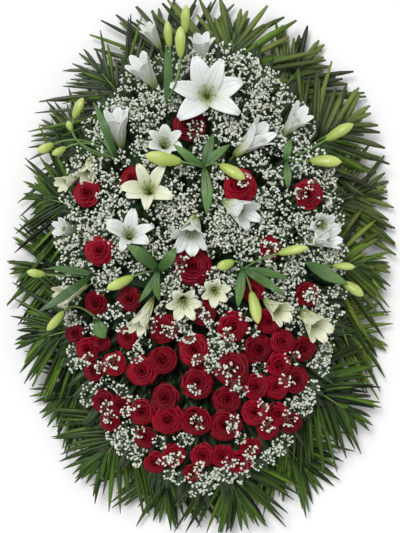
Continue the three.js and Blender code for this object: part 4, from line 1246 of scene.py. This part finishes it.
def grain_material(name, rough, scale, detail, dark, light, strength, depth, stretch=(1, 1, 1)):
    """Two colours mixed by a noise that is also the relief, stretched along a board where it is wood."""
    material, tree, shader = new_material(name, rough)
    place = tree.nodes.new("ShaderNodeTexCoord")
    mapping = tree.nodes.new("ShaderNodeMapping")
    mapping.inputs["Scale"].default_value = stretch
    tree.links.new(place.outputs["Object"], mapping.inputs["Vector"])
    noise = tree.nodes.new("ShaderNodeTexNoise")
    noise.inputs["Scale"].default_value = scale
    noise.inputs["Detail"].default_value = detail
    tree.links.new(mapping.outputs["Vector"], noise.inputs["Vector"])
    colour = mix_colour(tree, noise.outputs[0], linear(dark), linear(light))
    tree.links.new(colour, shader.inputs["Base Color"])
    add_bump(tree, shader, noise.outputs[0], strength, depth)
    return material


def wood_material(name, stretch):
    return grain_material(name, 0.75, 1.0, 6.0, "8A6A43", "C9A673", 0.3, 0.0006, stretch)


def dress(name, material):
    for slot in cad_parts[name].material_slots:
        slot.material = material


dress("foam_bed", grain_material("damp floral foam", 0.9, FOAM_GRAIN, 2.0, "0F2413", "244A2A", 0.6, 0.001))
WOOD_RAIL = wood_material("softwood rail", (WOOD_ACROSS, WOOD_ALONG, WOOD_ACROSS))
WOOD_SLAT = wood_material("softwood slat", (WOOD_ALONG, WOOD_ACROSS, WOOD_ACROSS))
for name in ("rail_left", "rail_right"):
    dress(name, WOOD_RAIL)
for name in ("slat_top", "slat_bottom"):
    dress(name, WOOD_SLAT)
print("materials in all:", len(bpy.data.materials))

# %% [markdown]
# ## Floor, light and camera
# The wreath lies on a plain pale floor. A wide soft sun and a bright sky light it evenly, as in a bright
# shop. The camera looks straight down at the middle of the face, from so far away that heads and fronds
# keep their sizes.

# %% Floor
FLOOR_HALF = 6.0
FLOOR_GREY = 0.93


def build_floor():
    mesh = bpy.data.meshes.new("floor")
    corners = [(x * FLOOR_HALF, y * FLOOR_HALF, 0) for x, y in ((-1, -1), (1, -1), (1, 1), (-1, 1))]
    mesh.from_pydata(corners, [], [(0, 1, 2, 3)])
    floor = bpy.data.objects.new("floor", mesh)
    bpy.context.scene.collection.objects.link(floor)
    material, _, shader = new_material("pale floor", 0.9)
    shader.inputs["Base Color"].default_value = (FLOOR_GREY, FLOOR_GREY, FLOOR_GREY, 1)
    mesh.materials.append(material)
    return floor


floor = build_floor()
print("floor:", floor.name)

# %% Light and camera
PHOTO_HEIGHT_MM = 533 * 2.1
LENS = 100.0
SENSOR = 36.0
VIEW_PLANE = 0.12
SKY_STRENGTH = 0.6
SUN_STRENGTH = 1.9
SUN_WIDTH = math.radians(24)
SUN_TILT = (math.radians(-22), math.radians(-16), 0)


def build_light():
    world = bpy.data.worlds.new("sky")
    world.use_nodes = True
    sky = world.node_tree.nodes["Background"]
    sky.inputs["Color"].default_value = (1, 1, 1, 1)
    sky.inputs["Strength"].default_value = SKY_STRENGTH
    bpy.context.scene.world = world
    lamp = bpy.data.lights.new("soft sun", "SUN")
    lamp.energy = SUN_STRENGTH
    lamp.angle = SUN_WIDTH
    sun = bpy.data.objects.new("soft sun", lamp)
    sun.rotation_euler = SUN_TILT
    bpy.context.scene.collection.objects.link(sun)


def build_camera():
    data = bpy.data.cameras.new("camera")
    data.lens = LENS
    data.sensor_width = SENSOR
    camera = bpy.data.objects.new("camera", data)
    distance = PHOTO_HEIGHT_MM * MM / 2 / (SENSOR / 2 / LENS)
    camera.location = (MIDDLE[0], MIDDLE[1], VIEW_PLANE + distance)
    bpy.context.scene.collection.objects.link(camera)
    bpy.context.scene.camera = camera
    bpy.context.scene.view_settings.view_transform = "Standard"
    return distance


build_light()
print("camera distance, m:", round(build_camera(), 3))
